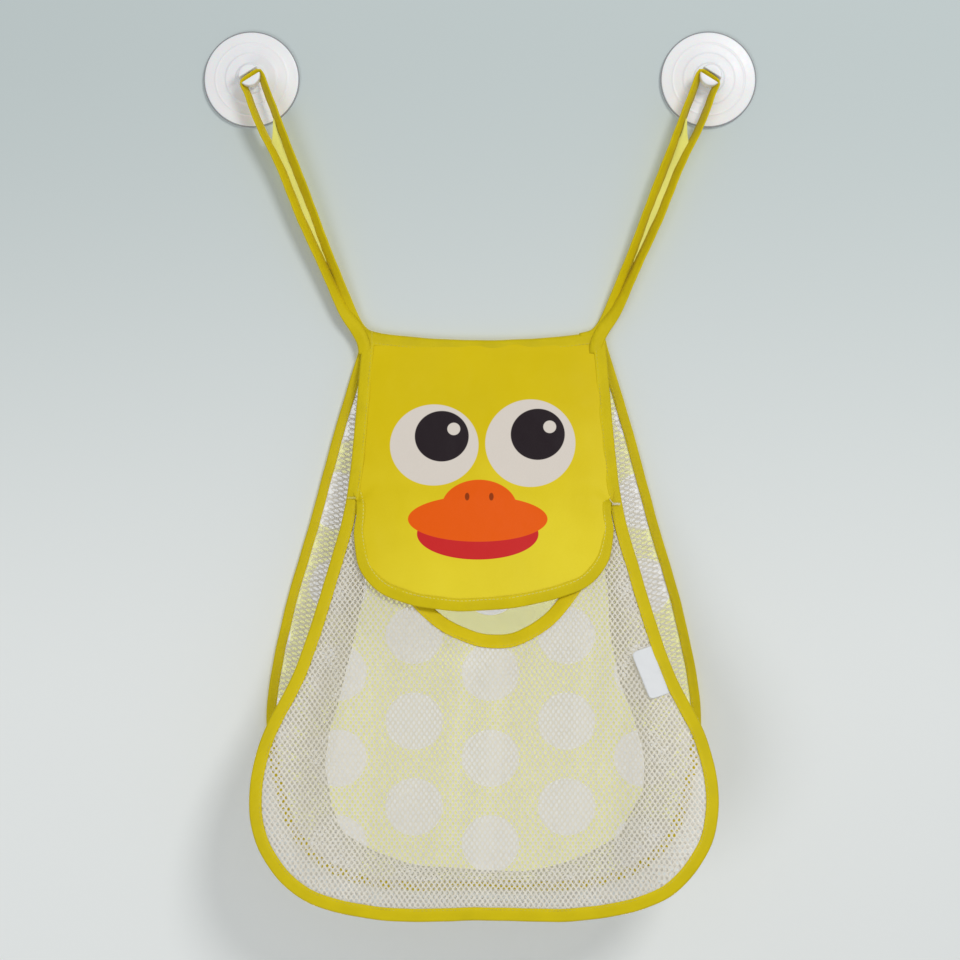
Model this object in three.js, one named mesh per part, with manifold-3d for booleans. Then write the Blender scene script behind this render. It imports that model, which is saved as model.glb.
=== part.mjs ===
// Bath toy organizer: a hanging bag of printed cloth and open mesh, held by two suction cups.
// Millimetres. X runs right along the wall, +Y runs into the wall, Z is up.
// The wall is the plane y = 0, and the origin lies on it midway between the two cups.

import * as THREE from 'three';
import { mergeVertices } from 'three/addons/utils/BufferGeometryUtils.js';
import Module from 'manifold-3d';

const wasm = await Module();
wasm.setup();

// Clearances and materials of the cloth
const seatGap = 0.3;
const overrun = 3;
const weldDistance = 0.0001;
const clothThickness = 0.6;
const meshThickness = 0.6;
const tapeWallThickness = 0.45;

// Suction cups
const cupSpacing = 309;
const cupDiameter = 65;
const cupLipWidth = 4;
const cupRimThickness = 1.2;
const cupHollowDepth = 1.4;
const cupStepDiameter = 34;
const cupStepHeight = 4.2;
const cupBossDiameter = 20;
const cupBossHeight = 6.4;
const knobDiameter = 14.6;
const knobNeckDiameter = 11;
const knobNeckHeight = 8.2;
const knobHeight = 18.4;
const knobEdgeRadius = 1.6;
const slotWidth = 4.2;
const slotFloorHeight = 9;
const slotAngle = THREE.MathUtils.degToRad(32);

// Hanging loops of tape
const loopTapeWidth = 8;
const loopTapeThickness = 1;
const loopPivotDrop = 12.4;
const loopBendRadius = 1.2;
const loopFootSpread = 5;
const loopTwistShare = 0.8;
const loopMaxAngle = THREE.MathUtils.degToRad(60);

// Bag
const bagShift = 2.5;
const bagTopHeight = -170;
const bagTopHalfWidth = 82.5;
const topSag = 6.5;
const frontHalfWidth = 150.6;
const frontLength = 390;
const backHalfWidth = 146.6;
const backLength = 378;
const bagDepth = 92;
const hemInset = 2.4;

// Half widths of the front and back, each pair a share of the length and of the half width
const frontOutlineShares = [
  [0.034, 0.553], [0.283, 0.6], [0.425, 0.685], [0.586, 0.812], [0.706, 0.956],
  [0.81, 1], [0.897, 0.94], [0.969, 0.754], [1, 0.42], [1, 0],
];
const backOutlineShares = [
  [0.026, 0.569], [0.178, 0.687], [0.34, 0.8], [0.502, 0.92], [0.67, 1],
  [0.8, 0.975], [0.905, 0.885], [0.97, 0.71], [1, 0.42], [1, 0],
];

// Bindings
const topBindingWidth = 9;
const topBindingThickness = 5.2;
const frontBindingWidth = 8.4;
const backBindingWidth = 6.6;
const sideBindingThickness = 3;
const flapBindingWidth = 8;
const flapBindingThickness = 2.1;
const necklineBindingWidth = 9;
const necklineBindingThickness = 2.4;

// Face panel and its free flap
const flapFoldDrop = 121;
const flapLength = 72;
const flapHalfWidth = 85.5;
const flapRiseLength = 16;
const flapRiseWidth = 6;
const flapOutlineShares = [
  [0, 0.985], [0.3, 1], [0.6, 0.955], [0.82, 0.8], [0.94, 0.55], [1, 0.22], [1, 0],
];

// Neckline of the front mesh: half widths, drops from the bag's top, and its lowest point's shift right
const necklineDrop = 207;
const necklineHalfWidth = 74;
const necklineStartDrop = 127;
const necklineShift = 7;
const necklineShares = [[0, 1], [0.42, 0.82], [0.8, 0.5], [0.965, 0.22], [1, 0]];

// Openings of the front mesh, drawn larger than the real ones
const netPitch = 16;
const netRowPitch = 11.6;
const netHoleWidth = 8.4;
const netHoleHeight = 13.4;
const netBorder = 3.4;

// Gusset
const gussetSideFold = 36;
const gussetFloorFold = 14;
const gussetTopFold = 3;
const gussetFullShare = 0.67;
const gussetFloorShare = 0.85;

// Trim
const labelWidth = 12.2;
const labelLength = 33;
const labelThickness = 0.4;
const labelAngle = THREE.MathUtils.degToRad(-20.5);
const labelDropShare = 0.546;
const labelEdgeGap = 1.6;
const tackLength = 7;
const tackWidth = 2.4;
const tackThickness = 0.8;

// Numbers of steps
const outlineSteps = 56;
const shortOutlineSteps = 28;
const gussetSteps = 6;
const tapeTwistSteps = 12;
const bendSteps = 5;
const noseSteps = 4;
const roundSteps = 32;

// Places worked out from the sizes
const sideLayer = (sideBindingThickness / 2 - tapeWallThickness - seatGap) - clothThickness / 2;
const backCentreDepth = sideBindingThickness / 2 + seatGap;
const topCentreDepth = topBindingThickness / 2 + seatGap;
const frontTopDepth = topCentreDepth + topBindingThickness / 2 - tapeWallThickness - seatGap
  - clothThickness / 2 - sideLayer;
const straightDrop = topBindingWidth - seatGap * 2;
const lean = Math.asin((bagDepth - frontTopDepth) / (frontLength - straightDrop));
const bagPivot = new THREE.Vector3(0, -topCentreDepth, bagTopHeight - topBindingThickness / 2);
const topHemInset = topBindingThickness / 2 + seatGap;
const slotMidDepth = (slotFloorHeight + knobHeight) / 2;
const necklineLayer = sideLayer;
const flapLayer = necklineLayer + necklineBindingThickness / 2 + seatGap + flapBindingThickness / 2;

// A point in front of the wall: across, drop below the bag's top, and height off the back layer
function backPoint(across, drop, off) {
  return new THREE.Vector3(across, -backCentreDepth - off, bagTopHeight - drop);
}

// The same on the leaning front, where the drop is measured along the cloth
function frontPoint(across, drop, off) {
  const sloped = Math.max(drop - straightDrop, 0);
  const tilt = drop > straightDrop ? lean : 0;
  return new THREE.Vector3(
    across,
    -frontTopDepth - sloped * Math.sin(tilt) - off * Math.cos(tilt),
    bagTopHeight - Math.min(drop, straightDrop) - sloped * Math.cos(tilt) + off * Math.sin(tilt),
  );
}

// How far the sagging top edge lies below its corners
function topDip(across) {
  const share = Math.min(Math.abs(across) / bagTopHalfWidth, 1);
  return topSag * (1 - share * share);
}

// Solids from rings of points and from grids

function volumeOf(positions, faces) {
  let sum = 0;
  for (let i = 0; i < faces.length; i += 3) {
    const [a, b, c] = [0, 1, 2].map((k) => positions[faces[i + k]]);
    sum += a.dot(new THREE.Vector3().crossVectors(b, c));
  }
  return sum;
}

function closedGeometry(positions, faces) {
  const index = volumeOf(positions, faces) < 0 ? faces.slice().reverse() : faces;
  const geometry = new THREE.BufferGeometry();
  const coordinates = positions.flatMap((p) => p.toArray());
  geometry.setAttribute('position', new THREE.Float32BufferAttribute(coordinates, 3));
  geometry.setIndex(index);
  return geometry;
}

// A bar through rings that all have the section's points, with flat ends
function loft(rings, section) {
  const count = section.length;
  const positions = rings.flat();
  const faces = [];
  for (let i = 0; i + 1 < rings.length; i += 1) {
    for (let j = 0; j < count; j += 1) {
      const next = (j + 1) % count;
      const a = i * count + j;
      const b = i * count + next;
      faces.push(a, b, a + count, b, b + count, a + count);
    }
  }
  const last = (rings.length - 1) * count;
  const ends = THREE.ShapeUtils.triangulateShape(section, []);
  const turned = THREE.ShapeUtils.isClockWise(section);
  for (const [a, b, c] of ends) {
    faces.push(...(turned ? [a, b, c] : [a, c, b]));
    faces.push(...(turned ? [last + a, last + c, last + b] : [last + a, last + b, last + c]));
  }
  return closedGeometry(positions, faces);
}

// A sheet of even thickness on a grid of points
function sheet(grid, thickness) {
  const rows = grid.length;
  const columns = grid[0].length;
  const at = (i, j) => grid[Math.min(Math.max(i, 0), rows - 1)][Math.min(Math.max(j, 0), columns - 1)];
  const sides = [1, -1].map((side) => grid.map((row, i) => row.map((point, j) => {
    const down = at(i + 1, j).clone().sub(at(i - 1, j));
    const along = at(i, j + 1).clone().sub(at(i, j - 1));
    return down.cross(along).normalize().multiplyScalar(side * thickness / 2).add(point);
  })));
  const positions = sides.flat(2);
  const back = rows * columns;
  const faces = [];
  const quad = (a, b, c, d) => faces.push(a, b, c, a, c, d);
  for (let i = 0; i + 1 < rows; i += 1) {
    for (let j = 0; j + 1 < columns; j += 1) {
      const a = i * columns + j;
      quad(a, a + columns, a + columns + 1, a + 1);
      quad(back + a, back + a + 1, back + a + columns + 1, back + a + columns);
    }
  }
  const rim = [];
  for (let j = 0; j + 1 < columns; j += 1) rim.push(j);
  for (let i = 0; i + 1 < rows; i += 1) rim.push(i * columns + columns - 1);
  for (let j = columns - 1; j > 0; j -= 1) rim.push((rows - 1) * columns + j);
  for (let i = rows - 1; i > 0; i -= 1) rim.push(i * columns);
  rim.forEach((a, k) => {
    const b = rim[(k + 1) % rim.length];
    quad(a, b, back + b, back + a);
  });
  return closedGeometry(positions, faces);
}

function toSolid(geometry) {
  const bare = geometry.clone();
  bare.deleteAttribute('normal');
  bare.deleteAttribute('uv');
  const merged = mergeVertices(bare, weldDistance);
  return new wasm.Manifold(new wasm.Mesh({
    numProp: 3,
    vertProperties: new Float32Array(merged.attributes.position.array),
    triVerts: new Uint32Array(merged.index.array),
  }));
}

function toGeometry(solid) {
  const mesh = solid.getMesh();
  const geometry = new THREE.BufferGeometry();
  geometry.setAttribute('position', new THREE.BufferAttribute(mesh.vertProperties, 3));
  geometry.setIndex(new THREE.BufferAttribute(mesh.triVerts, 1));
  return geometry;
}

// A block from its two corners
function block(low, high) {
  const size = high.clone().sub(low);
  const geometry = new THREE.BoxGeometry(size.x, size.y, size.z);
  const middle = low.clone().add(high).multiplyScalar(1 / 2);
  return geometry.translate(middle.x, middle.y, middle.z);
}

// A round bar along X
function barAlongX(radius, length, centre) {
  const geometry = new THREE.CylinderGeometry(radius, radius, length, roundSteps);
  return geometry.rotateZ(Math.PI / 2).translate(centre.x, centre.y, centre.z);
}

// Outlines

// The whole outline from the left top round the bottom to the right top, as [across, drop] points
function outline(shares, halfWidth, length, startDrop = 0) {
  const half = shares.map(([down, out]) => new THREE.Vector2(-out * halfWidth, startDrop + down * length));
  const mirrored = half.slice(0, -1).reverse().map((p) => new THREE.Vector2(-p.x, p.y));
  return new THREE.SplineCurve([...half, ...mirrored]);
}

// Points along a curve with their normals on the left-hand side, which is outside for these outlines
function traced(curve, steps) {
  const points = curve.getSpacedPoints(steps);
  return points.map((point, i) => {
    const before = points[Math.max(i - 1, 0)];
    const after = points[Math.min(i + 1, steps)];
    const along = after.clone().sub(before).normalize();
    return { point, outward: new THREE.Vector2(-along.y, along.x) };
  });
}

function insetPoint({ point, outward }, inset) {
  return point.clone().addScaledVector(outward, -inset);
}

// A folded tape: the cloth's edge lies in the channel, and the fold is the outer edge
function channelSection(width, thickness) {
  const half = thickness / 2;
  const slot = half - tapeWallThickness;
  const nose = [];
  for (let i = 0; i <= noseSteps; i += 1) {
    const turn = Math.PI / 2 - (Math.PI * i) / noseSteps;
    nose.push([width - half + half * Math.cos(turn), half * Math.sin(turn)]);
  }
  const channel = [[0, -slot], [width - half, -slot], [width - half, slot], [0, slot]];
  return [[0, half], ...nose, [0, -half], ...channel].map(([across, off]) => new THREE.Vector2(across, off));
}

function binding(trace, width, thickness, layer, place) {
  const section = channelSection(width, thickness);
  const rings = trace.map((step) => section.map((corner) => {
    const flat = insetPoint(step, width - corner.x);
    return place(flat.x, flat.y, layer + corner.y);
  }));
  return loft(rings, section);
}

// A flat cut of cloth, extruded and then hung on the wall or on the leaning front
function hungCloth(shape, thickness, layer, place) {
  const geometry = new THREE.ExtrudeGeometry(shape, { depth: thickness, bevelEnabled: false });
  const position = geometry.attributes.position;
  for (let i = 0; i < position.count; i += 1) {
    const off = layer - thickness / 2 + position.getZ(i);
    const hung = place(position.getX(i), position.getY(i), off);
    position.setXYZ(i, hung.x, hung.y, hung.z);
  }
  return toGeometry(toSolid(flipIfInside(geometry)));
}

function flipIfInside(geometry) {
  const bare = geometry.clone();
  bare.deleteAttribute('normal');
  bare.deleteAttribute('uv');
  const merged = mergeVertices(bare, weldDistance);
  const array = merged.attributes.position.array;
  const points = [];
  for (let i = 0; i < array.length; i += 3) {
    points.push(new THREE.Vector3(array[i], array[i + 1], array[i + 2]));
  }
  return closedGeometry(points, Array.from(merged.index.array));
}

// Suction cups, each with its slotted knob moulded on

function cupGeometry(side) {
  const lipRadius = cupDiameter / 2;
  const profile = [
    [0, cupHollowDepth],
    [(lipRadius - cupLipWidth) / 2, cupHollowDepth],
    [lipRadius - cupLipWidth, 0],
    [lipRadius, 0],
    [lipRadius, cupRimThickness],
    [cupStepDiameter / 2 + cupLipWidth, (cupRimThickness + cupStepHeight) / 2],
    [cupStepDiameter / 2, cupStepHeight],
    [cupBossDiameter / 2, cupBossHeight],
    [knobNeckDiameter / 2, knobNeckHeight],
    [knobNeckDiameter / 2, slotFloorHeight],
    [knobDiameter / 2, slotFloorHeight],
    [knobDiameter / 2, knobHeight - knobEdgeRadius],
    [knobDiameter / 2 - knobEdgeRadius / 3, knobHeight - knobEdgeRadius / 3],
    [knobDiameter / 2 - knobEdgeRadius, knobHeight],
    [0, knobHeight],
  ].map(([radius, height]) => new THREE.Vector2(radius, height));
  const body = new THREE.LatheGeometry(profile, roundSteps).rotateX(Math.PI);
  const slot = block(
    new THREE.Vector3(-knobDiameter, -knobHeight - overrun, -slotWidth / 2),
    new THREE.Vector3(knobDiameter, -slotFloorHeight, slotWidth / 2),
  ).rotateY(side * slotAngle);
  return toGeometry(toSolid(flipIfInside(body)).subtract(toSolid(slot)));
}

// Hanging loops. The left one is drawn and the right one mirrors it, apart from the bag's shift.

// The tape's centre line as places with the turn of its width, from foot to slot to foot
function loopStations(side) {
  const cup = new THREE.Vector2(side * cupSpacing / 2, 0);
  const foot = new THREE.Vector2(side * bagTopHalfWidth + bagShift, bagPivot.z);
  const slotAlong = new THREE.Vector2(Math.cos(slotAngle), -side * Math.sin(slotAngle));
  const slotDown = new THREE.Vector2(side * Math.sin(slotAngle), Math.cos(slotAngle)).multiplyScalar(-1);
  const restDepth = slotWidth / 2 - seatGap - loopTapeThickness / 2;
  const stations = [];
  const add = (flat, depth, along, twist) => stations.push({ flat, depth, along, twist });
  for (const end of [-1, 1]) {
    const corner = cup.clone()
      .addScaledVector(slotAlong, end * (knobDiameter / 2 + seatGap + loopTapeThickness / 2))
      .addScaledVector(slotDown, restDepth + loopBendRadius);
    const bendCentre = corner.clone().addScaledVector(slotAlong, -end * loopBendRadius);
    const base = foot.clone().add(new THREE.Vector2(end * loopFootSpread / 2, -topBindingThickness));
    const leg = [];
    for (let i = 0; i <= tapeTwistSteps; i += 1) {
      const share = i / tapeTwistSteps;
      const flat = corner.clone().lerp(base, share);
      const depth = slotMidDepth + (topCentreDepth - slotMidDepth) * share;
      const along = base.clone().sub(corner).normalize();
      leg.push({ flat, depth, along, twist: Math.min(share / loopTwistShare, 1) });
    }
    const bend = [];
    for (let i = 1; i <= bendSteps; i += 1) {
      const turn = (i / bendSteps) * Math.PI / 2;
      const flat = bendCentre.clone()
        .addScaledVector(slotAlong, end * loopBendRadius * Math.cos(turn))
        .addScaledVector(slotDown, -loopBendRadius * Math.sin(turn));
      const along = slotDown.clone().multiplyScalar(Math.cos(turn))
        .addScaledVector(slotAlong, end * Math.sin(turn));
      bend.push({ flat, depth: slotMidDepth, along, twist: 0 });
    }
    if (end < 0) {
      leg.reverse().forEach((s) => add(s.flat, s.depth, s.along.clone().multiplyScalar(-1), s.twist));
      bend.forEach((s) => add(s.flat, s.depth, s.along.clone().multiplyScalar(-1), s.twist));
      stations[stations.length - 1].along = slotAlong.clone();
    } else {
      bend.reverse().forEach((s) => add(s.flat, s.depth, s.along, s.twist));
      stations[stations.length - bendSteps].along = slotAlong.clone();
      leg.forEach((s) => add(s.flat, s.depth, s.along, s.twist));
    }
  }
  return stations;
}

function tapeSolid(side) {
  const halfWidth = loopTapeWidth / 2;
  const halfThickness = loopTapeThickness / 2;
  const section = [[-halfWidth, -halfThickness], [halfWidth, -halfThickness], [halfWidth, halfThickness],
    [-halfWidth, halfThickness]].map(([a, b]) => new THREE.Vector2(a, b));
  const rings = loopStations(side).map(({ flat, depth, along, twist }) => {
    const centre = new THREE.Vector3(flat.x, -depth, flat.y);
    const forward = new THREE.Vector3(along.x, 0, along.y);
    const depthwise = new THREE.Vector3(0, -1, 0);
    const sideways = forward.clone().cross(depthwise);
    const angle = twist * Math.PI / 2 * Math.sign(-forward.z || 1);
    const wide = depthwise.clone().multiplyScalar(Math.cos(angle));
    wide.addScaledVector(sideways, Math.sin(angle));
    const thick = forward.clone().cross(wide);
    return section.map((p) => centre.clone().addScaledVector(wide, p.x).addScaledVector(thick, p.y));
  });
  const middle = rings.length / 2;
  const first = toSolid(loft(rings.slice(0, middle + 1), section));
  const second = toSolid(loft(rings.slice(middle - 1), section));
  return first.add(second);
}

// The tape is cut at its pivot under the knob: a round end on the leg turns in a hollow of the bight
function splitLoop(side) {
  const tape = tapeSolid(side);
  const reach = cupSpacing;
  const pivot = new THREE.Vector3(side * cupSpacing / 2, -slotMidDepth, -loopPivotDrop);
  const legRadius = loopTapeWidth / 2 + seatGap / 2;
  const below = (gap) => block(
    new THREE.Vector3(-reach, -knobHeight - loopTapeWidth, bagPivot.z - bagDepth),
    new THREE.Vector3(reach, 0, pivot.z + gap),
  );
  const round = (gap) => barAlongX(legRadius + gap, knobDiameter * 3, pivot);
  const roll = barAlongX(topBindingThickness / 2 + seatGap, reach, bagPivot);
  const underRoll = block(
    new THREE.Vector3(-reach, -bagDepth, bagPivot.z - bagDepth),
    new THREE.Vector3(reach, bagDepth, bagPivot.z),
  );
  const legs = tape.intersect(toSolid(below(0)).add(toSolid(round(0))))
    .subtract(toSolid(roll)).subtract(toSolid(underRoll));
  const strip = block(
    new THREE.Vector3(-knobDiameter * 2, -loopTapeWidth / 2 - seatGap, -cupDiameter),
    new THREE.Vector3(knobDiameter * 2, loopTapeWidth / 2 + seatGap, 0),
  ).rotateX(-loopMaxAngle).translate(pivot.x, pivot.y, pivot.z);
  const bight = tape.subtract(toSolid(below(seatGap))).subtract(toSolid(round(seatGap)))
    .subtract(toSolid(strip));
  return { legs: toGeometry(legs), bight: toGeometry(bight) };
}

// Bag pieces

const frontTrace = traced(outline(frontOutlineShares, frontHalfWidth, frontLength), outlineSteps);
const backTrace = traced(outline(backOutlineShares, backHalfWidth, backLength), outlineSteps);

function shapeFrom(points) {
  return new THREE.Shape(points);
}

function topEdge(drop, halfWidth, fromLeft) {
  const points = [];
  for (let i = 0; i <= shortOutlineSteps; i += 1) {
    const share = (fromLeft ? 1 : -1) * (2 * i / shortOutlineSteps - 1);
    const across = share * halfWidth;
    points.push(new THREE.Vector2(across, drop + topDip(across)));
  }
  return points;
}

function backPanelGeometry() {
  const sides = backTrace.map((step) => insetPoint(step, hemInset));
  const edge = topEdge(topHemInset, Math.abs(sides[0].x), false);
  return hungCloth(shapeFrom([...sides, ...edge]), clothThickness, -sideLayer, backPoint);
}

// The sewn part of the face panel: its lower edge comes forward over the mesh to the fold
function facePanelGeometry() {
  const rows = [topHemInset, straightDrop, topBindingWidth * 1.5, flapFoldDrop / 3, flapFoldDrop * 2 / 3,
    flapFoldDrop - flapRiseLength, flapFoldDrop - flapRiseLength * 2 / 3, flapFoldDrop - flapRiseLength / 3,
    flapFoldDrop - seatGap / 2];
  const columns = shortOutlineSteps;
  const curve = outline(frontOutlineShares, frontHalfWidth, frontLength).getSpacedPoints(outlineSteps * 4);
  const outlineHalf = (drop) => Math.abs(curve.find((p) => p.y >= drop).x);
  const grid = rows.map((row) => {
    const edge = outlineHalf(row);
    const half = edge - hemInset;
    return Array.from({ length: columns + 1 }, (_, j) => {
      const across = half * (2 * j / columns - 1);
      const dip = topDip(across) * Math.max(1 - row / flapFoldDrop, 0);
      const beyond = edge - Math.abs(across) - frontBindingWidth - seatGap;
      const inner = Math.min(Math.max(beyond / flapRiseWidth, 0), 1);
      const rise = Math.max((row - flapFoldDrop + flapRiseLength) / flapRiseLength, 0);
      const off = sideLayer + (flapLayer - sideLayer) * rise * rise * inner;
      const point = frontPoint(across, row, off);
      point.z -= dip;
      return point;
    });
  });
  return sheet(grid, clothThickness);
}

function flapTrace() {
  const edge = outline(flapOutlineShares, flapHalfWidth, flapLength, flapFoldDrop + seatGap / 2);
  return traced(edge, shortOutlineSteps);
}

function necklineTrace() {
  const depth = necklineDrop - necklineStartDrop;
  const edge = outline(necklineShares, necklineHalfWidth, depth, necklineStartDrop);
  edge.points.forEach((point) => {
    point.x += necklineShift * (point.y - necklineStartDrop) / depth;
  });
  return traced(edge, shortOutlineSteps);
}

function flapGeometry() {
  const edge = flapTrace().map((step) => insetPoint(step, hemInset));
  return hungCloth(shapeFrom(edge), clothThickness, flapLayer, frontPoint);
}

// One opening of the net, a six-sided oval
function netHole(across, drop) {
  const w = netHoleWidth / 2;
  const h = netHoleHeight / 2;
  const corners = [[0, -h], [w, -h / 2], [w, h / 2], [0, h], [-w, h / 2], [-w, -h / 2]];
  return corners.map(([x, y]) => new THREE.Vector2(across + x, drop + y));
}

function inside(point, polygon) {
  let within = false;
  polygon.forEach((a, i) => {
    const b = polygon[(i + 1) % polygon.length];
    const crosses = (a.y > point.y) !== (b.y > point.y);
    if (crosses && point.x < (b.x - a.x) * (point.y - a.y) / (b.y - a.y) + a.x) within = !within;
  });
  return within;
}

function frontMeshOutline(inset, neckInset) {
  const start = necklineStartDrop;
  const sides = frontTrace.map((step) => insetPoint(step, inset)).filter((p) => p.y > start);
  const neck = necklineTrace().map((step) => insetPoint(step, neckInset)).reverse();
  return [...sides, ...neck];
}

function frontMeshGeometry() {
  const shape = shapeFrom(frontMeshOutline(hemInset, -hemInset));
  const border = frontMeshOutline(frontBindingWidth + netBorder, -necklineBindingWidth - netBorder);
  const rows = Math.floor((frontLength - necklineStartDrop) / netRowPitch);
  const columns = Math.ceil(frontHalfWidth / netPitch);
  for (let row = 0; row < rows; row += 1) {
    for (let column = -columns; column <= columns; column += 1) {
      const across = (column + (row % 2) / 2) * netPitch;
      const corners = netHole(across, frontLength - (row + 1) * netRowPitch);
      if (corners.every((corner) => inside(corner, border))) shape.holes.push(new THREE.Path(corners));
    }
  }
  return hungCloth(shape, meshThickness, sideLayer, frontPoint);
}

// The right side's step at a drop, between the two nearest steps of an outline
function stepAt(trace, drop) {
  const right = trace.filter(({ point }) => point.x > 0).sort((a, b) => a.point.y - b.point.y);
  const next = right.findIndex(({ point }) => point.y >= drop);
  const above = right[next - 1];
  const below = right[next];
  const share = (drop - above.point.y) / (below.point.y - above.point.y);
  return {
    point: above.point.clone().lerp(below.point, share),
    outward: above.outward.clone().lerp(below.outward, share).normalize(),
  };
}

// The mesh gusset: both edges lie in the bindings, and the slack between them folds inwards
function gussetGeometry() {
  const steps = outlineSteps;
  const grid = backTrace.map((backStep, i) => {
    const frontStep = frontTrace[i];
    const share = i / steps;
    const round = Math.sin(Math.PI * share);
    const low = Math.max((round - gussetFloorShare) / (1 - gussetFloorShare), 0);
    const sideShare = Math.min(round / gussetFullShare, 1) * (1 - low);
    const fold = gussetTopFold + (gussetSideFold - gussetTopFold) * sideShare
      + (gussetFloorFold - gussetTopFold) * low;
    const backIn = insetPoint(backStep, backBindingWidth + seatGap);
    const frontIn = insetPoint(frontStep, frontBindingWidth + seatGap);
    const a = backPoint(backIn.x, backIn.y, sideLayer);
    const b = frontPoint(frontIn.x, frontIn.y, -sideLayer);
    const inward = new THREE.Vector3(-backStep.outward.x, 0, backStep.outward.y);
    const backEdge = insetPoint(backStep, hemInset);
    const frontEdge = insetPoint(frontStep, hemInset);
    const line = [backPoint(backEdge.x, backEdge.y, sideLayer)];
    for (let k = 0; k <= gussetSteps; k += 1) {
      const v = k / gussetSteps;
      line.push(a.clone().lerp(b, v).addScaledVector(inward, fold * Math.sin(Math.PI * v)));
    }
    line.push(frontPoint(frontEdge.x, frontEdge.y, -sideLayer));
    return line;
  });
  return sheet(grid, meshThickness);
}

function topBindingGeometry() {
  const line = new THREE.CatmullRomCurve3(topEdge(0, bagTopHalfWidth, true)
    .map((p) => new THREE.Vector3(p.x, p.y, 0)));
  const flat = line.getSpacedPoints(shortOutlineSteps).map((p) => new THREE.Vector2(p.x, p.y));
  const trace = flat.map((point) => ({ point, outward: new THREE.Vector2(0, -1) }));
  const place = (across, drop, off) => (
    new THREE.Vector3(across, -topCentreDepth - off, bagTopHeight - drop)
  );
  return binding(trace, topBindingWidth, topBindingThickness, 0, place);
}

function labelGeometry() {
  const shape = shapeFrom([[0, 0], [labelWidth, 0], [labelWidth, labelLength], [0, labelLength]]
    .map(([x, y]) => new THREE.Vector2(x, y).rotateAround(new THREE.Vector2(0, 0), labelAngle)));
  const drop = labelDropShare * frontLength;
  const anchor = insetPoint(stepAt(frontTrace, drop), frontBindingWidth + labelWidth + labelEdgeGap);
  const layer = sideLayer + clothThickness + seatGap;
  const place = (x, y, off) => frontPoint(anchor.x + x, anchor.y + y, off);
  return hungCloth(shape, labelThickness, layer, place);
}

// A short bar of close stitches, lying on the cloth
function tackGeometry(across, drop, layer, angle) {
  const corners = [[-1, -1], [1, -1], [1, 1], [-1, 1]].map(([x, y]) => (
    new THREE.Vector2(x * tackLength / 2, y * tackWidth / 2).rotateAround(new THREE.Vector2(0, 0), angle)));
  const place = (x, y, off) => frontPoint(across + x, drop + y, off);
  return hungCloth(shapeFrom(corners), tackThickness, layer + tackThickness / 2, place);
}

// Materials
const vinyl = { color: 0xf0f0f0, roughness: 0.25, metalness: 0 };
const yellowTape = { color: 0xcbb428, roughness: 0.7, metalness: 0 };
const yellowCloth = { color: 0xd6c414, roughness: 0.75, metalness: 0 };
const paleCloth = { color: 0xe4e28c, roughness: 0.75, metalness: 0 };
const whiteMesh = { color: 0xf2f2f0, roughness: 0.5, metalness: 0 };
const whiteCloth = { color: 0xf4f2ec, roughness: 0.7, metalness: 0 };

function piece(name, geometry, look) {
  const mesh = new THREE.Mesh(geometry, new THREE.MeshStandardMaterial(look));
  mesh.name = name;
  return mesh;
}

const organizer = new THREE.Group();
const bag = new THREE.Group();
bag.position.x = bagShift;
organizer.add(bag);

for (const [prefix, side] of [['left', -1], ['right', 1]]) {
  const cup = piece(`${prefix}_suction_cup`, cupGeometry(side), vinyl);
  cup.position.x = side * cupSpacing / 2;
  const loop = splitLoop(side);
  organizer.add(
    cup,
    piece(`${prefix}_loop_bight`, loop.bight, yellowTape),
    piece(`${prefix}_hanging_loop`, loop.legs, yellowTape),
  );
  const corner = bagTopHalfWidth - tackLength;
  const overTop = topCentreDepth + topBindingThickness / 2 + seatGap - frontTopDepth;
  const overFront = sideBindingThickness / 2 + seatGap;
  const flapTackAcross = flapHalfWidth + frontBindingWidth / 4;
  bag.add(
    piece(
      `${prefix}_corner_bartack`,
      tackGeometry(side * corner, topBindingWidth / 2, overTop, Math.PI / 2),
      yellowTape,
    ),
    piece(
      `${prefix}_flap_tack`,
      tackGeometry(side * flapTackAcross, flapFoldDrop - tackWidth * 2, overFront, 0),
      yellowTape,
    ),
  );
}

// The neckline's tape folds over the mesh from above, so its fold faces inwards
const necklineFold = necklineTrace().map(({ point, outward }) => (
  { point, outward: outward.clone().multiplyScalar(-1) }
));

bag.add(
  piece('back_panel', backPanelGeometry(), paleCloth),
  piece('face_panel', facePanelGeometry(), yellowCloth),
  piece('face_flap', flapGeometry(), yellowCloth),
  piece('front_mesh_panel', frontMeshGeometry(), whiteMesh),
  piece('gusset_mesh', gussetGeometry(), whiteMesh),
  piece('top_binding', topBindingGeometry(), yellowTape),
  piece(
    'front_binding',
    binding(frontTrace, frontBindingWidth, sideBindingThickness, 0, frontPoint),
    yellowTape,
  ),
  piece(
    'back_binding',
    binding(backTrace, backBindingWidth, sideBindingThickness, 0, backPoint),
    yellowTape,
  ),
  piece(
    'flap_binding',
    binding(flapTrace(), flapBindingWidth, flapBindingThickness, flapLayer, frontPoint),
    yellowTape,
  ),
  piece(
    'neckline_binding',
    binding(necklineFold, necklineBindingWidth, necklineBindingThickness, necklineLayer, frontPoint),
    yellowTape,
  ),
  piece('blank_label', labelGeometry(), whiteCloth),
);

export default organizer;
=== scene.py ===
"""Looks of a hanging bath toy organizer: printed cloth, open mesh, yellow tape and two suction cups.

Metres. X runs right along the wall, +Y runs into the wall, Z is up, and the wall is the plane y = 0.
Cloth is laid out flat first, as (across, drop) from the bag's top, and then hung.
"""

import math

import bmesh
import bpy
import numpy as np
from mathutils import Matrix, Vector, noise
from mathutils.geometry import delaunay_2d_cdt


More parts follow.
